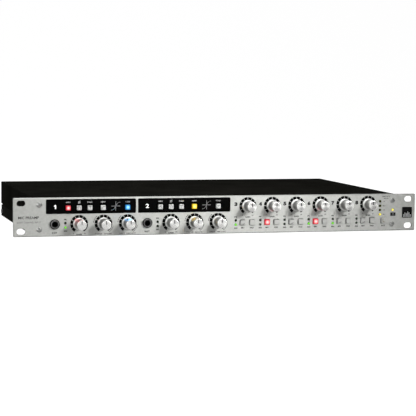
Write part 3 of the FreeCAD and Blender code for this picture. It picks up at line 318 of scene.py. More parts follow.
def moulded(name, colour, roughness, depth=0.008, specular=0.5):
    """Moulded plastic with a faint surface texture."""
    s = Surface(name, colour, roughness)
    s.vary_colour(s.grain(6), 0.05)
    fine = s.grain(0.25)
    s.vary_roughness(fine, 0.04)
    s.relief(fine, depth)
    return s.set(Specular_IOR_Level=specular).material


FACE_DEPTH = (0.25, 0.45)                              # where a cap's sides, painted darker as shade, begin behind its face


def faced_cap(name, colour, shaded_side_colour, front):
    """Satin grey cap, its sides painted darker than its face as shade."""
    s = Surface(name, colour, 0.5)
    depth = s.axes(s.mapped((1 / MM,) * 3))[1]
    side = s.ranged(depth, 0, 1, *(front + d for d in FACE_DEPTH))
    # the sides' darker colour is painted shade
    s.set_colour(s.tinted(s.blend(side, colour, shaded_side_colour), s.ranged(s.grain(6), 0.95, 1.05)))
    fine = s.grain(0.25)
    s.vary_roughness(fine, 0.04)
    s.relief(fine, 0.008)
    return s.set(Specular_IOR_Level=0.2).material


def plated(name, colour, roughness):
    """Plated or plain metal with a fine unevenness."""
    s = Surface(name, colour, roughness, 1.0)
    fine = s.grain(0.3)
    s.vary_colour(s.grain(4), 0.05)
    s.vary_roughness(fine, 0.06)
    s.relief(fine, 0.003)
    return s.material


def ink(name, colour, roughness=0.5, specular=0.1):
    """Screen-printed ink: slightly uneven cover."""
    s = Surface(name, colour, roughness)
    s.vary_colour(s.grain(0.6), 0.08)
    s.relief(s.grain(0.2), 0.002)
    return s.set(Specular_IOR_Level=specular).material


PLASTIC_SHARE = 0.25                                   # how much of the glow's colour the unlit plastic has
GLOW_CORE = 0.10                                       # of the cap's width, where the tint begins
GLOW_EDGE = 0.48                                       # and where it is full
GLOW_STRENGTH = 1.15
RIM_START = 0.36                                       # and where the dimmer rim begins
RIM_END = 0.5
RIM_GLOW = 0.45


def glowing(name, edge, core, centre, size, strength=GLOW_STRENGTH):
    """Translucent cap or lens lit from inside: brightest at its middle, tinted towards its edges."""
    s = Surface(name, tuple(c * PLASTIC_SHARE for c in edge), 0.3)
    across, _, upright = s.axes(s.mapped((1 / (size * MM),) * 3, tuple(c * MM for c in centre)))
    factor = s.ranged(s.radius(across, upright), 0, 1, GLOW_CORE, GLOW_EDGE)
    outward = [s.math("ABSOLUTE", value, 0.0) for value in (across, upright)]
    rim = s.ranged(s.math("MAXIMUM", *outward), 1.0, RIM_GLOW, RIM_START, RIM_END)
    colour = s.tinted(s.blend(factor, core, edge), rim)
    s.links.new(colour, s.shader.inputs["Emission Color"])
    s.vary_colour(s.grain(1.5), 0.05)
    return s.set(Emission_Strength=strength, Specular_IOR_Level=0.2).material


TRACK_UNIT = 6                                         # one unit of the brick texture
TRACK_COLOURS = {                                      # by the brick texture's own names
    "Color1": (0.02, 0.14, 0.05), "Color2": (0.016, 0.11, 0.04), "Mortar": (0.05, 0.24, 0.09)}
TRACK_WIDTH = 0.05                                     # the brick texture's mortar size
WIRE_PITCH = 1.27
RIB_SCALE = 0.25                                       # of the wave texture: about one rib to a wire


def board_material(name):
    """Green solder mask over copper tracks."""
    s = Surface(name, (0.02, 0.13, 0.05), 0.35)
    brick = s.nodes.new("ShaderNodeTexBrick")
    s.links.new(s.mapped((1 / (TRACK_UNIT * MM),) * 3), brick.inputs["Vector"])
    for socket, colour in TRACK_COLOURS.items():
        brick.inputs[socket].default_value = (*colour, 1)
    brick.inputs["Mortar Size"].default_value = TRACK_WIDTH
    s.set_colour(brick.outputs["Color"])
    s.vary_roughness(s.grain(3), 0.06)
    return s.material


def ribbon_material(name):
    """Grey flat cable with a rib over each wire."""
    s = Surface(name, (0.42, 0.42, 0.43), 0.5)
    wave = s.nodes.new("ShaderNodeTexWave")
    wave.bands_direction = "X"
    wave.inputs["Scale"].default_value = RIB_SCALE
    s.links.new(s.mapped((1 / (WIRE_PITCH * MM), 1, 1)), wave.inputs["Vector"])
    s.vary_colour(wave.outputs["Fac"], 0.12)
    s.relief(wave.outputs["Fac"], 0.2)
    return s.material


def assign(node, material):
    """Gives a CAD node one material, in every slot that it has."""
    obj = NODES[node]
    if not obj.material_slots:
        obj.data.materials.append(material)
    for material_slot in obj.material_slots:
        material_slot.material = material


# ---------------------------------------------------------------- mesh helpers, in millimetres
SMOOTH_ANGLE = 40                                      # degrees; a sharper edge stays sharp
ON_AXIS = 1e-6                                         # a smaller radius is a point on the axis
INK_T = 0.04                                           # thickness of printed ink


def piece(name, mesh_builder, material, body):
    """Makes an object from a bmesh in millimetres, and puts it on a CAD body."""
    mesh = bpy.data.meshes.new(name)
    bmesh.ops.recalc_face_normals(mesh_builder, faces=mesh_builder.faces)
    mesh_builder.to_mesh(mesh)
    mesh_builder.free()
    mesh.transform(Matrix.Scale(MM, 4))
    mesh.shade_smooth()
    mesh.set_sharp_from_angle(angle=math.radians(SMOOTH_ANGLE))
    mesh.materials.append(material)
    obj = bpy.data.objects.new(name, mesh)
    bpy.context.scene.collection.objects.link(obj)
    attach(obj, body)
    return obj


def add_turned(bm, profile, centre, segments):
    """Adds a solid turned about the Y axis through centre; profile holds (radius, y) points."""
    rings = []
    for radius, y in profile:
        if radius < ON_AXIS:
            rings.append([bm.verts.new((centre[0], y, centre[1]))])
            continue
        turn = [2 * math.pi * k / segments for k in range(segments)]
        rings.append([bm.verts.new((centre[0] + radius * math.cos(a), y, centre[1] + radius * math.sin(a)))
                      for a in turn])
    for first, second in zip(rings, rings[1:]):
        for k in range(segments):
            following = (k + 1) % segments
            corners = [first[k % len(first)], first[following % len(first)],
                       second[following % len(second)], second[k % len(second)]]
            unique = list(dict.fromkeys(corners))
            if len(unique) > 2:
                bm.faces.new(unique)


def add_outline(bm, points, y_front, y_back):
    """Adds a flat prism: points are (x, z) round its outline."""
    front = [bm.verts.new((x, y_front, z)) for x, z in points]
    back = [bm.verts.new((x, y_back, z)) for x, z in points]
    bm.faces.new(front)
    bm.faces.new(back[::-1])
    for k in range(len(points)):
        following = (k + 1) % len(points)
        bm.faces.new([front[following], front[k], back[k], back[following]])


def add_block(bm, x0, x1, z0, z1, y0, y1):
    """Adds a box between two corners."""
    add_outline(bm, [(x0, z0), (x1, z0), (x1, z1), (x0, z1)], y0, y1)


def add_arc(bm, centre, inner, outer, start, end, y, steps=8):
    """Adds a printed arc; angles in degrees, clockwise from twelve o'clock as seen from the front."""
    angles = [math.radians(start + (end - start) * k / steps) for k in range(steps + 1)]
    rim = [(centre[0] + outer * math.sin(a), centre[1] + outer * math.cos(a)) for a in angles]
    bore = [(centre[0] + inner * math.sin(a), centre[1] + inner * math.cos(a)) for a in angles[::-1]]
    add_outline(bm, rim + bore, y - INK_T, y)


def add_stroke(bm, points, width, y, thickness=INK_T):
    """Adds a printed line through points."""
    for (x0, z0), (x1, z1) in zip(points, points[1:]):
        length = math.hypot(x1 - x0, z1 - z0)
        dx = (x1 - x0) / length * width / 2
        dz = (z1 - z0) / length * width / 2
        add_outline(bm, [(x0 - dx - dz, z0 - dz + dx), (x0 - dx + dz, z0 - dz - dx),
                         (x1 + dx + dz, z1 + dz - dx), (x1 + dx - dz, z1 + dz + dx)], y - thickness, y)


def add_text(bm, words, x, z, y, height, width=None, weight=0.012, rear=False):
    """Adds printed lettering centred on (x, z); height is that of a capital, and rear faces it to +Y."""
    curve = bpy.data.curves.new("lettering", "FONT")
    curve.body = words
    curve.offset = weight
    curve.extrude = 0.5                                # any depth: it becomes INK_T below
    curve.resolution_u = 3
    holder = bpy.data.objects.new("lettering", curve)
    bpy.context.scene.collection.objects.link(holder)
    mesh = bpy.data.meshes.new_from_object(holder)
    bpy.data.objects.remove(holder)
    bpy.data.curves.remove(curve)
    points = np.array([v.co for v in mesh.vertices])
    low, high = points.min(0), points.max(0)
    tall = height / (high[1] - low[1])
    wide = tall if width is None else width / (high[0] - low[0])
    side = -1 if rear else 1
    for vertex in mesh.vertices:
        across, up, out = vertex.co
        vertex.co = (x + side * (across - (low[0] + high[0]) / 2) * wide,
                     y + side * (-INK_T if out > 0 else 0),
                     z + (up - (low[1] + high[1]) / 2) * tall)
    bm.from_mesh(mesh)
    bpy.data.meshes.remove(mesh)


# ---------------------------------------------------------------- materials of the CAD nodes
PANEL = anodised("panel_silver", (0.28, 0.2835, 0.27))
KNOB_COLOURS = ((0.58, 0.58, 0.565), (0.33, 0.33, 0.322), (0.74, 0.74, 0.72))  # disc; side painted darker as shade; skirt painted lighter as a highlight
STRIP = moulded("strip_black", (0.0013, 0.0013, 0.0013), 0.35, 0.002, 0.0)
CASE = painted("case_black", (0.0047, 0.0047, 0.0040), 0.7, 0.0, mottle=0.45)
REAR = painted("rear_black", (0.016, 0.016, 0.0155), 0.5, 0.35)
TRAY = painted("tray_black", (0.0075, 0.0075, 0.0068), 0.6, 0.0, mottle=0.45)
SCREW = plated("screw_steel", (0.26, 0.263, 0.255), 0.3)
BLACK_SCREW = painted("screw_black", (0.02, 0.02, 0.02), 0.35, 0.5, 0.2, 0.003)
SOCKET = moulded("socket_black", (0.012, 0.012, 0.013), 0.35)
CLEAR_CAP = moulded("button_clear", (0.33, 0.33, 0.325), 0.3, specular=0.2)
JACK = plated("jack_dark", (0.016, 0.016, 0.016), 0.32)
JACK_RING = plated("jack_ring", (0.24, 0.24, 0.235), 0.35)
NICKEL = plated("nickel", (0.66, 0.66, 0.63), 0.22)
BRASS = plated("pillar_brass", (0.66, 0.48, 0.2), 0.3)
CORE = plated("component_metal", (0.45, 0.45, 0.46), 0.4)
BOARD = board_material("board_green")
RIBBON = ribbon_material("ribbon_grey")
SWITCH_PLASTIC = moulded("switch_plastic", (0.03, 0.03, 0.032), 0.5)
BADGE = moulded("badge_black", (0.003, 0.003, 0.003), 0.3, 0.002, 0.05)

FIXED = {
    "front_panel": PANEL, "label_strips": STRIP, "badge_plate": BADGE, "panel_screws": SCREW,
    "chassis_tray": TRAY, "top_cover": CASE, "rear_panel": REAR, "machine_screws": BLACK_SCREW,
    "potentiometer_bodies": CORE, "button_switches": SWITCH_PLASTIC, "instrument_jacks": JACK,
    "mic_sockets": SOCKET, "line_connector": NICKEL, "optical_sockets": SOCKET,
    "clock_connector": NICKEL, "mains_inlet": SOCKET, "switch_housing": SOCKET,
    "power_rocker": SOCKET, "main_board": BOARD, "control_board": BOARD, "ribbon_cables": RIBBON,
    "output_transformers": CORE, "power_supply": BOARD, "board_pillars": BRASS,
}

RED_EDGE = (0.62, 0.016, 0.038)
RED_CORE = (0.98, 0.78, 0.74)
LIT = {                                                # edge colour, core colour, watts shed on the knob
    "phantom_button_1": (RED_EDGE, RED_CORE, 0.06),
    "phantom_button_4": (RED_EDGE, RED_CORE, 0.03),
    "phantom_button_6": (RED_EDGE, RED_CORE, 0.03),
    "colour_button_1": ((0.015, 0.24, 0.62), (0.50, 0.92, 0.98), 0.30),
    "filter_button_2": ((0.88, 0.56, 0.008), (1.0, 0.97, 0.40), 0.25),
}

# face colour, then the sides' colour, painted dark as shade
GREY_CAP = faced_cap("button_grey", (0.225, 0.227, 0.217), (0.05, 0.05, 0.048),
                     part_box(SMALL_BUTTONS[0])[0].y / MM)


def assign_materials():
    """Every CAD node's own material; panel_leds needs none, because lenses replace it."""
    for node, material in FIXED.items():
        assign(node, material)
    for node in KNOBS:
        disc_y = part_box(node)[0].y / MM
        assign(node, turned_metal(node + "_metal", KNOB_COLOURS, middle(node), disc_y))
    for node in STRIP_BUTTONS + SMALL_BUTTONS:
        if node in LIT:
            edge, core, _ = LIT[node]
            low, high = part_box(node)
            width = (high.x - low.x) / MM
            assign(node, glowing(node + "_glow", edge, core, middle(node), width))
        else:
            assign(node, CLEAR_CAP if node in STRIP_BUTTONS else GREY_CAP)


# ---------------------------------------------------------------- knob pointers
POINTER_BLACK = ink("pointer_black", (0.004, 0.004, 0.004), 0.5, 0.0)
POINTER_W = 0.88
POINTER_REACH = (0.52, 4.78)                           # from the knob's axis
POINTER_DEPTH = (0.06, 0.39)                           # behind the knob's front


def add_pointers():
    """The black line let into the front of each knob."""
    for node in KNOBS:
        centre = middle(node)
        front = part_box(node)[0].y / MM
        bottom, top = (centre.z + reach for reach in POINTER_REACH)
        bm = bmesh.new()
        add_block(bm, centre.x - POINTER_W / 2, centre.x + POINTER_W / 2, bottom, top,
                  front + POINTER_DEPTH[0], front + POINTER_DEPTH[1])
        piece(node + "_pointer", bm, POINTER_BLACK, node)


# ---------------------------------------------------------------- LEDs
LED_R = 1.5
LED_PROUD = 0.88
LED_FLANGE_R = 1.85
LED_FLANGE_T = 1.0
LED_BACK_Y = 2.5                                       # the back of its flange
LED_STEPS = 10                                         # along the dome
LED_SEGMENTS = 32                                      # round it
ORIGIN = (0, 0, 0)
LIT_GREEN = glowing("led_green_lit", (0.02, 0.28, 0.006), (0.32, 0.88, 0.06), ORIGIN, 2 * LED_R, 1.0)
LIT_YELLOW = glowing("led_yellow_lit", (0.48, 0.36, 0.01), (1.0, 0.93, 0.20), ORIGIN, 2 * LED_R, 1.3)
DARK_GREEN = moulded("led_green_dark", (0.010, 0.014, 0.008), 0.2, 0.0, 0.3)
DARK_OLIVE = moulded("led_yellow_dark", (0.020, 0.022, 0.002), 0.2, 0.0, 0.15)
GREEN_CHANNELS = (1, 3, 6, 7)
CHANNELS = 8
LED_COLUMNS = sorted({x for x, z in LEDS})
LED_HEIGHTS = {column: sorted(z for x, z in LEDS if x == column) for column in LED_COLUMNS}
CLOCK_X, POWER_X = LED_COLUMNS[CHANNELS:]


def add_led(name, x, z, material, replaces=False):
    """Round lens with a domed front, its centre on the object's own origin."""
    turns = [math.pi / 2 * k / LED_STEPS for k in range(LED_STEPS + 1)]
    dome = [(LED_R * math.sin(turn), LED_R * (1 - math.cos(turn)) - LED_PROUD) for turn in turns]
    back = LED_BACK_Y - PANEL_Y
    bm = bmesh.new()
    add_turned(bm, dome + [(LED_R, back - LED_FLANGE_T), (LED_FLANGE_R, back - LED_FLANGE_T),
                           (LED_FLANGE_R, back), (0, back)], (0, 0), LED_SEGMENTS)
    obj = piece(name, bm, material, ROOT)
    obj.location = Vector((x, PANEL_Y, z)) * MM
    if replaces:
        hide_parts("panel_leds")


def add_leds():
    """A peak and a signal LED for each channel, four clock LEDs and the power LED."""
    for channel, x in enumerate(LED_COLUMNS[:CHANNELS], 1):
        signal_z, peak_z = LED_HEIGHTS[x]
        add_led("peak_led_%d" % channel, x, peak_z, DARK_GREEN, replaces=channel == 1)
        lit = channel in GREEN_CHANNELS
        add_led("signal_led_%d" % channel, x, signal_z, LIT_GREEN if lit else DARK_GREEN)
    clock_heights = LED_HEIGHTS[CLOCK_X][::-1]
    for row, z in enumerate(clock_heights, 1):
        add_led("clock_led_%d" % row, CLOCK_X, z, LIT_YELLOW if row == len(clock_heights) else DARK_OLIVE)
    add_led("power_led", POWER_X, LED_HEIGHTS[POWER_X][0], LIT_YELLOW)


# ---------------------------------------------------------------- printing on the panel
DARK_INK = ink("print_dark", (0.008, 0.008, 0.008))
GREY_INK = ink("print_grey", (0.07, 0.07, 0.068))
BLACK_INK = ink("print_black", (0.003, 0.003, 0.003), 0.4, 0.0)
WHITE_INK = ink("print_white", (0.62, 0.62, 0.62))
LABEL_INK = ink("print_label", (0.26, 0.26, 0.26))
DIM_INK = ink("print_dim", (0.16, 0.16, 0.16))

SCALE_INNER = 7.0
SCALE_OUTER = 10.25
SCALE_REACH = 150                                      # degrees to each side of twelve o'clock
SCALE_SEGMENTS = 10
SCALE_GAP = 3.2                                        # degrees between segments


def add_scales():
    """The broken black ring round each knob."""
    bm = bmesh.new()
    step = 2 * SCALE_REACH / SCALE_SEGMENTS
    for node in KNOBS:
        centre = middle(node)
        for k in range(SCALE_SEGMENTS):
            start = -SCALE_REACH + k * step + SCALE_GAP / 2
            add_arc(bm, (centre.x, centre.z), SCALE_INNER, SCALE_OUTER, start,
                    start + step - SCALE_GAP, PANEL_Y)
    piece("knob_scales", bm, BLACK_INK, ROOT)


LABEL_H = 1.7
NUMBER_H = 1.5
CLOCK_LABEL_H = 1.3
WORD_WEIGHT = 0.045

# Labels are (words, x and z from the thing they name, height, then width and weight if not the font's).
PLAIN_CHANNEL_LABELS = (
    ("GAIN", 0.0, -13.0, LABEL_H, 5.8, WORD_WEIGHT),
    ("0", -6.5, -10.8, NUMBER_H),
    ("60", 6.0, -11.1, NUMBER_H))
GAIN_KNOB_LABELS = (
    ("0", -6.5, -11.0, NUMBER_H),
    ("GAIN", 0.0, -11.9, LABEL_H, 6.4, WORD_WEIGHT),
    ("60", 6.4, -11.0, NUMBER_H))
TONE_KNOB_LABELS = (("TONE  SHAPE", -0.2, -11.6, 1.6, 19.5),)
DRIVE_KNOB_LABELS = (("DRIVE  AMOUNT", -0.2, -11.6, 1.6, 19.5),)
FIGURE_PLACE = (-14.4, 2.1, 4.5, 3.8, 0.075)
BUTTON_WORDS = {"phantom": "48V", "pad": "PAD", "clock": "RATE"}
BUTTON_LABEL_PLACE = (0.0, -6.3, LABEL_H, 4.6, WORD_WEIGHT)
PEAK_LABELS = (("PK", 0.0, 4.1, NUMBER_H, 3.6, WORD_WEIGHT),)
SIGNAL_LABELS = (("SIG", 0.0, -4.0, NUMBER_H, 4.0, WORD_WEIGHT),)
JACK_LABELS = (("INST", 0.0, -9.8, 2.0, 6.0, 0.025),)
CLOCK_RATES = ("44.1", "48", "88.2", "96")
CLOCK_RATE_X = 4.9
CLOCK_TITLE_LABELS = (("SAMPLE RATE", 7.4, 19.2, CLOCK_LABEL_H, 9.6), ("kHz", 7.7, 16.7, CLOCK_LABEL_H, 5.6))


def add_labels(bm, labels, x, z):
    """Prints labels on the panel, placed from (x, z)."""
    for words, right, up, *size in labels:
        add_text(bm, words, x + right, z + up, PANEL_Y, *size)


DASHES = 4
DASH_FIRST = -84                                       # degrees from twelve o'clock
DASH_STEP = 11.5
DASH_LENGTH = 9
DASH_RADII = (11.2, 11.9)
HAIRLINE_RADII = (11.3, 11.8)
HAIRLINE_REACH = (102, 147)


def add_range_arcs(bm, centre):
    """The dashed and the solid arc outside a tone or drive knob's ring."""
    for k in range(DASHES):
        start = DASH_FIRST + k * DASH_STEP
        add_arc(bm, centre, *DASH_RADII, start, start + DASH_LENGTH, PANEL_Y, 3)
    add_arc(bm, centre, *HAIRLINE_RADII, *HAIRLINE_REACH, PANEL_Y)


JACK_PROUD = 2.1                                       # a jack's front stands further out than this


def jack_fronts():
    """(x, y, z) of the front of each instrument jack, on its axis."""
    return [((low.x + high.x) / 2, low.y, (low.z + high.z) / 2)
            for low, high in islands("instrument_jacks") if low.y < PANEL_Y - JACK_PROUD]


def add_panel_lettering():
    """The small dark labels, channel figures and arcs round the controls."""
    bm = bmesh.new()
    for node in KNOBS:
        centre = middle(node)
        channel = node[-1]
        if int(channel) > 2:
            add_labels(bm, PLAIN_CHANNEL_LABELS + ((channel, *FIGURE_PLACE),), centre.x, centre.z)
        elif node.startswith("gain"):
            add_labels(bm, GAIN_KNOB_LABELS, centre.x, centre.z)
        else:
            labels = TONE_KNOB_LABELS if node.startswith("tone") else DRIVE_KNOB_LABELS
            add_labels(bm, labels, centre.x, centre.z)
            add_range_arcs(bm, (centre.x, centre.z))
    for node in SMALL_BUTTONS:
        centre = middle(node)
        words = BUTTON_WORDS[node.split("_")[0]]
        add_labels(bm, ((words, *BUTTON_LABEL_PLACE),), centre.x, centre.z)
    for x in LED_COLUMNS[:CHANNELS]:
        signal_z, peak_z = LED_HEIGHTS[x]
        add_labels(bm, PEAK_LABELS, x, peak_z)
        add_labels(bm, SIGNAL_LABELS, x, signal_z)
    for x, _, z in jack_fronts():
        add_labels(bm, JACK_LABELS, x, z)
    for words, z in zip(CLOCK_RATES, LED_HEIGHTS[CLOCK_X]):
        add_labels(bm, ((words, CLOCK_RATE_X, 0.0, CLOCK_LABEL_H),), CLOCK_X, z)
    add_labels(bm, CLOCK_TITLE_LABELS, CLOCK_X, 0.0)
    piece("panel_lettering", bm, DARK_INK, ROOT)


LEGEND_PLACE = (0.4, -5.2)                             # from the power LED
LEGEND_HALF = (3.3, 2.0)                               # half its width and height
TITLE = ("MIC PREAMP", 17.2, -0.2, 3.0, 23.5, 0.015)
SUBTITLE = ("EIGHT CHANNEL INPUT", 17.6, -5.6, 1.9, 27.0, 0.0)


def add_panel_print():
    """Everything printed on the silver panel but the knobs' rings."""
    add_panel_lettering()
    x = POWER_X + LEGEND_PLACE[0]
    z = LED_HEIGHTS[POWER_X][0] + LEGEND_PLACE[1]
    black = bmesh.new()
    add_block(black, x - LEGEND_HALF[0], x + LEGEND_HALF[0], z - LEGEND_HALF[1], z + LEGEND_HALF[1],
              PANEL_Y - INK_T, PANEL_Y)
    piece("power_legend", black, BLACK_INK, ROOT)
    power = bmesh.new()
    add_text(power, "ON", x, z, PANEL_Y - INK_T, 1.6, 3.2)
    piece("power_lettering", power, DIM_INK, ROOT)
    for name, label, panel_ink in (("title_lettering", TITLE, DARK_INK),
                                   ("subtitle_lettering", SUBTITLE, GREY_INK)):
        bm = bmesh.new()
        add_labels(bm, (label,), PANEL_LOW.x, 0.0)
        piece(name, bm, panel_ink, ROOT)


# ---------------------------------------------------------------- printing on the black strips
STRIP_WORDS = {"phantom": "48V", "pad": "PAD", "filter": "HPF", "colour": "TONE"}
STRIP_LABEL_RISE = 6.3
STRIP_LABEL_H = 1.5
STRIP_LABEL_W = 5.6
PHASE_RING = (0.85, 1.25)
PHASE_SLASH = (1.3, 1.6)                               # half its width and height
PHASE_SLASH_W = 0.35
FIGURE_FROM_PHANTOM = (-15.4, 1.2)
SYMBOL_FROM_COLOUR = (-13.9, 1.5)


def add_strip_print():
    """The channel figures, button labels and graphs on the two black strips."""
    figures = bmesh.new()
    labels = bmesh.new()
    symbols = bmesh.new()
    for node in STRIP_BUTTONS:
        centre = middle(node)
        function, _, channel = node.split("_")
        label_z = centre.z + STRIP_LABEL_RISE
        if function == "phase":
            add_ring(labels, (centre.x, label_z), *PHASE_RING)
            across, up = PHASE_SLASH
            ends = [(centre.x - across, label_z - up), (centre.x + across, label_z + up)]
            add_stroke(labels, ends, PHASE_SLASH_W, STRIP_Y)
        else:
            add_text(labels, STRIP_WORDS[function], centre.x, label_z, STRIP_Y, STRIP_LABEL_H, STRIP_LABEL_W)
        if function == "phantom":
            add_channel_figure(figures, channel, centre.x + FIGURE_FROM_PHANTOM[0],
                               centre.z + FIGURE_FROM_PHANTOM[1])
        if function == "colour":
            add_curve_symbol(symbols, centre.x + SYMBOL_FROM_COLOUR[0], centre.z + SYMBOL_FROM_COLOUR[1])
    piece("strip_figures", figures, WHITE_INK, ROOT)
    piece("strip_lettering", labels, LABEL_INK, ROOT)
    piece("strip_symbols", symbols, DIM_INK, ROOT)


FIGURE_H = 4.6
FIGURE_W = 3.9
FIGURE_WEIGHT = 0.015
STEM_RIGHT = 1.5                                       # right edge of the 1, from its place
STEM_W = 1.35
FLAG_W = 1.15                                          # the flag's corners are shares of this


def add_channel_figure(bm, figure, x, z):
    """A bold channel number; the 1 is a plain bar with a flag."""
    if figure != "1":
        add_text(bm, figure, x, z, STRIP_Y, FIGURE_H, FIGURE_W, FIGURE_WEIGHT)
        return
    bottom = z - FIGURE_H / 2
    top = z + FIGURE_H / 2
    right = x + STEM_RIGHT
    stem = right - STEM_W
    flag = stem - FLAG_W
    add_outline(bm, [(stem, bottom), (right, bottom), (right, top), (right - STEM_W * 0.7, top),
                     (flag, top - FLAG_W * 0.9), (flag, top - FLAG_W * 1.7), (stem, top - FLAG_W * 1.1)],
                STRIP_Y - INK_T, STRIP_Y)


def add_ring(bm, centre, inner, outer):
    """A printed circle on a strip, in eight arcs."""
    for start in range(0, 360, 45):
        add_arc(bm, centre, inner, outer, start, start + 45, STRIP_Y, 3)


AXIS_HALF = (4.8, 5.0)                                 # half its width and height, as for the curve
AXIS_W = 0.5
CURVE_HALF = (5.0, 4.6)
CURVE_BEND = 2.2
CURVE_W = 0.6
CURVE_STEPS = 10


def add_curve_symbol(bm, x, z):
    """A small graph: two axes and an S-shaped transfer curve."""
    add_stroke(bm, [(x - AXIS_HALF[0], z), (x + AXIS_HALF[0], z)], AXIS_W, STRIP_Y)
    add_stroke(bm, [(x, z - AXIS_HALF[1]), (x, z + AXIS_HALF[1])], AXIS_W, STRIP_Y)
    width, height = CURVE_HALF
    curve = [(x + width * k / CURVE_STEPS, z + height * math.tanh(CURVE_BEND * k / CURVE_STEPS))
             for k in range(-CURVE_STEPS, CURVE_STEPS + 1)]
    add_stroke(bm, curve, CURVE_W, STRIP_Y)


# ---------------------------------------------------------------- marks on the caps, jack rings, badge
CAP_INK_T = 0.03
CAP_MARK_W = 0.7
CAP_MARKS = {                                          # strokes as (x, z, x, z) from the cap's middle
    "phantom": ((-1.6, 0.6, 1.2, 1.2), (0.0, 0.6, -1.4, 0.0), (0.0, 0.6, 1.6, -1.8)),
    "phase": ((-1.0, 1.2, -1.0, -1.2), (-1.0, 1.2, 1.0, 1.2), (1.0, 1.2, 1.0, -1.2)),
    "pad": ((-1.2, 1.3, 1.2, 1.3), (0.0, 1.3, 0.0, -1.1)),
    "filter": ((-1.7, -1.2, -0.5, 1.2), (-0.5, 1.2, 1.7, 1.2)),
    "colour": ((-1.6, -1.4, 1.6, 1.4), (-1.6, 0.9, 0.2, 0.9)),
}
SMALL_CAP_MARKS = {
    "phantom": ((-1.3, -1.9, 0.7, -1.9), (0.7, -1.9, 1.5, -0.9)),
    "clock": ((-1.2, 1.9, -1.2, -1.4), (-1.2, -1.4, 0.6, -1.9)),
}


def add_button_marks():
    """A small printed mark on the unlit caps."""
    clear_ink = ink("cap_print", (0.12, 0.12, 0.12))
    grey_ink = ink("small_cap_print", (0.075, 0.075, 0.072))
    olive_ink = ink("clock_cap_print", (0.09, 0.08, 0.035))
    for node in STRIP_BUTTONS + SMALL_BUTTONS:
        function = node.split("_")[0]
        on_strip = node in STRIP_BUTTONS
        strokes = (CAP_MARKS if on_strip else SMALL_CAP_MARKS).get(function)
        if node in LIT or strokes is None:
            continue
        centre = middle(node)
        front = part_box(node)[0].y / MM
        bm = bmesh.new()
        for x0, z0, x1, z1 in strokes:
            ends = [(centre.x + x0, centre.z + z0), (centre.x + x1, centre.z + z1)]
            add_stroke(bm, ends, CAP_MARK_W, front, CAP_INK_T)
        small_ink = olive_ink if function == "clock" else grey_ink
        piece(node + "_mark", bm, clear_ink if on_strip else small_ink, node)


JACK_RING_INNER = 3.82
JACK_RING_OUTER = 4.42
JACK_RING_BEVEL = (0.10, 0.12)                         # inner and outer, across the ring
JACK_RING_PROUD = 0.12
JACK_RING_DEPTH = 1.5
JACK_RING_SEGMENTS = 48
WELD = 1e-4                                            # points nearer than this become one


def add_jack_rings():
    """The plated front ring inside each instrument jack's nut."""
    bm = bmesh.new()
    for x, y, z in jack_fronts():
        face = y - JACK_RING_PROUD
        back = y + JACK_RING_DEPTH
        add_turned(bm, [(JACK_RING_INNER, back), (JACK_RING_INNER, y),
                        (JACK_RING_INNER + JACK_RING_BEVEL[0], face),
                        (JACK_RING_OUTER - JACK_RING_BEVEL[1], face),
                        (JACK_RING_OUTER, y), (JACK_RING_OUTER, back), (JACK_RING_INNER, back)],
                   (x, z), JACK_RING_SEGMENTS)
    bmesh.ops.remove_doubles(bm, verts=bm.verts, dist=WELD)
    piece("jack_front_rings", bm, JACK_RING, ROOT)


BADGE_LEVELS = (3, 5, 4, 6, 5, 3)
BADGE_ROW = 1.1
BADGE_BAR_H = 0.75
BADGE_BAR_SHARE = 0.75                                 # of the columns' pitch
BADGE_MARGIN = 1.2
BADGE_FOOT = 0.9


def add_badge_print():
    """Level-meter columns over the lower half of the badge."""
    low, high = (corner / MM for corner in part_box("badge_plate"))
    bm = bmesh.new()
    pitch = (high.x - low.x - 2 * BADGE_MARGIN) / len(BADGE_LEVELS)
    for k, level in enumerate(BADGE_LEVELS):
        x0 = low.x + BADGE_MARGIN + k * pitch
        for row in range(level):
            z0 = low.z + BADGE_FOOT + row * BADGE_ROW
            add_block(bm, x0, x0 + pitch * BADGE_BAR_SHARE, z0, z0 + BADGE_BAR_H, low.y - INK_T, low.y)
    piece("badge_print", bm, LABEL_INK, ROOT)


# ---------------------------------------------------------------- printing at the rear
SOCKET_FIGURE_Z = -18.6
SOCKET_FIGURE_H = 2.2
OPTICAL_LABEL_Z = 8.4
REAR_LABEL_H = 1.8
REAR_WORDS = {                                         # node: words, z, height
    "line_connector": ("LINE OUT 1-8", 8.2, 2.0),
    "clock_connector": ("CLOCK IN", 10.2, REAR_LABEL_H),
    "mains_inlet": ("AC", 13.0, 2.0),
    "switch_housing": ("POWER", 12.6, REAR_LABEL_H),
}


def add_rear_print():
    """White numbers and labels over the rear sockets."""
    bm = bmesh.new()
    sockets = sorted((low.x + high.x) / 2 for low, high in islands("mic_sockets"))
    for channel, x in enumerate(sockets, 1):
        add_text(bm, str(channel), x, SOCKET_FIGURE_Z, REAR_Y, SOCKET_FIGURE_H, rear=True)
    optical = sorted({round((low.x + high.x) / 2, 1) for low, high in islands("optical_sockets")})
    for number, x in enumerate(optical, 1):
        add_text(bm, "OPT %d" % number, x, OPTICAL_LABEL_Z, REAR_Y, REAR_LABEL_H, rear=True)
    for node, (words, z, height) in REAR_WORDS.items():
        add_text(bm, words, middle(node).x, z, REAR_Y, height, rear=True)
    piece("rear_lettering", bm, WHITE_INK, ROOT)


# ---------------------------------------------------------------- floor and light, in metres
FLOOR_SIZE = 12.0
WALL_Y = 3.5
WALL_H = 8.0
SWEEP_R = 1.5
SWEEP_STEPS = 12
FLOOR_GREY = (0.14, 0.14, 0.14)
FLOOR_WHITE = 0.95                                     # the sweep's brightness as the camera sees it
FLOOR_GLOW = 0.62                                      # the light it sheds near and behind the object
FLOOR_DIM = 0.10                                       # what it sheds off to the right, where the light fades
DIM_START = 0.27
DIM_END = 0.45
DIM_SLANT = 0.416


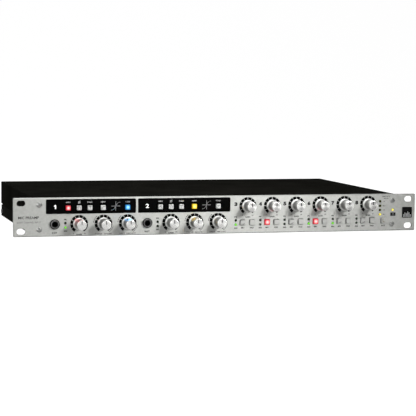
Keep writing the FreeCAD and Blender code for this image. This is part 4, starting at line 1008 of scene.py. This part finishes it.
def floor_material():
    """Near white to the camera, while the light that it sheds fades off to the right."""
    s = Surface("floor_white", FLOOR_GREY, 0.7)
    s.vary_colour(s.grain(400), 0.01)
    s.set(Emission_Color=(1, 1, 1, 1), Specular_IOR_Level=0.0)
    x, y, _ = s.axes(s.object_point)
    slanted = s.math("SUBTRACT", x, s.math("MULTIPLY", y, DIM_SLANT))
    glow = s.ranged(slanted, FLOOR_GLOW, FLOOR_DIM, DIM_START, DIM_END)
    path = s.nodes.new("ShaderNodeLightPath")
    seen = s.math("MULTIPLY", path.outputs["Is Camera Ray"], FLOOR_WHITE)
    s.links.new(s.math("MAXIMUM", glow, seen), s.shader.inputs["Emission Strength"])
    return s.material


def add_stage():
    """Pale floor that sweeps up into a pale wall behind the object."""
    floor_z = FLOOR_Z * MM
    line = [(-FLOOR_SIZE, floor_z), (WALL_Y - SWEEP_R, floor_z)]
    for k in range(1, SWEEP_STEPS + 1):
        turn = math.pi / 2 * k / SWEEP_STEPS
        line.append((WALL_Y - SWEEP_R + SWEEP_R * math.sin(turn), floor_z + SWEEP_R * (1 - math.cos(turn))))
    line.append((WALL_Y, floor_z + WALL_H))
    bm = bmesh.new()
    rows = [[bm.verts.new((x, y, z)) for x in (-FLOOR_SIZE, FLOOR_SIZE)] for y, z in line]
    for first, second in zip(rows, rows[1:]):
        bm.faces.new([first[0], first[1], second[1], second[0]])
    mesh = bpy.data.meshes.new("floor")
    bm.to_mesh(mesh)
    bm.free()
    mesh.shade_smooth()
    mesh.materials.append(floor_material())
    floor = bpy.data.objects.new("floor", mesh)
    bpy.context.scene.collection.objects.link(floor)


def add_lamp(data, place, aim):
    """Puts a light at place, shining towards aim."""
    light = bpy.data.objects.new(data.name, data)
    light.location = place
    light.rotation_euler = (Vector(aim) - Vector(place)).to_track_quat("-Z", "Y").to_euler()
    bpy.context.scene.collection.objects.link(light)


KEY_PLACE = (0.30, -0.55, 0.32)
# Soft lights as (name, place, aim, width, height, radiance), then the spread in degrees if not 180.
FRONT_LIGHTS = (
    ("front_fill", (-0.45, -0.9, 0.28), (-0.25, 0, 0.1), 0.85, 0.5, 2.5),
    ("key", KEY_PLACE, (0.045, 0, 0), 0.25, 0.25, 3.4, 46),
    ("key_left", KEY_PLACE, (-0.31, 0, 0), 0.25, 0.25, 3.25, 50),
    ("overhead", (-0.05, -0.05, 1.1), (-0.03, 0, 0), 0.8, 0.5, 7.0),
    ("left_card", (-1.1, -0.3, 0.3), (-0.05, 0, 0), 0.8, 1.0, 3.4),
)
REAR_LIGHT = ("rear_fill", (0.1, 1.3, 0.9), (0.0, 0.28, 0), 1.0, 0.6, 6.0)


def add_area(name, place, aim, width, height, radiance, spread=180):
    """Rectangular soft light; radiance is its brightness as seen in a mirror, where 1 is white."""
    data = bpy.data.lights.new(name, "AREA")
    data.shape = "RECTANGLE"
    data.size = width
    data.size_y = height
    data.energy = radiance * math.pi * width * height
    data.spread = math.radians(spread)
    add_lamp(data, place, aim)


GLOW_LIFT = 3.5                                        # millimetres in front of the cap
GLOW_REACH = 8.0                                       # and behind a knob's disc, where the glow is aimed
GLOW_CONE = 55                                         # degrees
GLOW_R = 2.0                                           # of the lamp, in millimetres


def add_glow(node, colour, watts):
    """The light that a lit cap sheds on the knob nearest to it."""
    low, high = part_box(node)
    place = Vector(((low.x + high.x) / 2, low.y - GLOW_LIFT * MM, (low.z + high.z) / 2))
    aims = []
    for knob in KNOBS:
        centre = middle(knob) * MM
        aims.append(Vector((centre.x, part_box(knob)[0].y + GLOW_REACH * MM, centre.z)))
    data = bpy.data.lights.new(node + "_light", "SPOT")
    data.color = colour
    data.energy = watts
    data.shadow_soft_size = GLOW_R * MM
    data.spot_size = math.radians(GLOW_CONE)
    data.spot_blend = 1.0
    add_lamp(data, place, min(aims, key=lambda point: (point - place).length))


WORLD_STRENGTH = 0.2


def add_light():
    """The lamps round the object, the tint of each lit cap, and a weak even surround."""
    world = bpy.data.worlds.new("studio")
    world.use_nodes = True
    background = world.node_tree.nodes["Background"]
    background.inputs["Color"].default_value = (1, 1, 1, 1)
    background.inputs["Strength"].default_value = WORLD_STRENGTH
    bpy.context.scene.world = world
    for light in FRONT_LIGHTS:
        add_area(*light)
    for node, (edge, _, watts) in LIT.items():
        add_glow(node, edge, watts)
    add_area(*REAR_LIGHT)
    bpy.context.scene.view_settings.view_transform = "Standard"


add_camera()
assign_materials()
add_pointers()
add_leds()
add_scales()
add_panel_print()
add_strip_print()
add_button_marks()
add_jack_rings()
add_badge_print()
add_rear_print()
add_stage()
add_light()
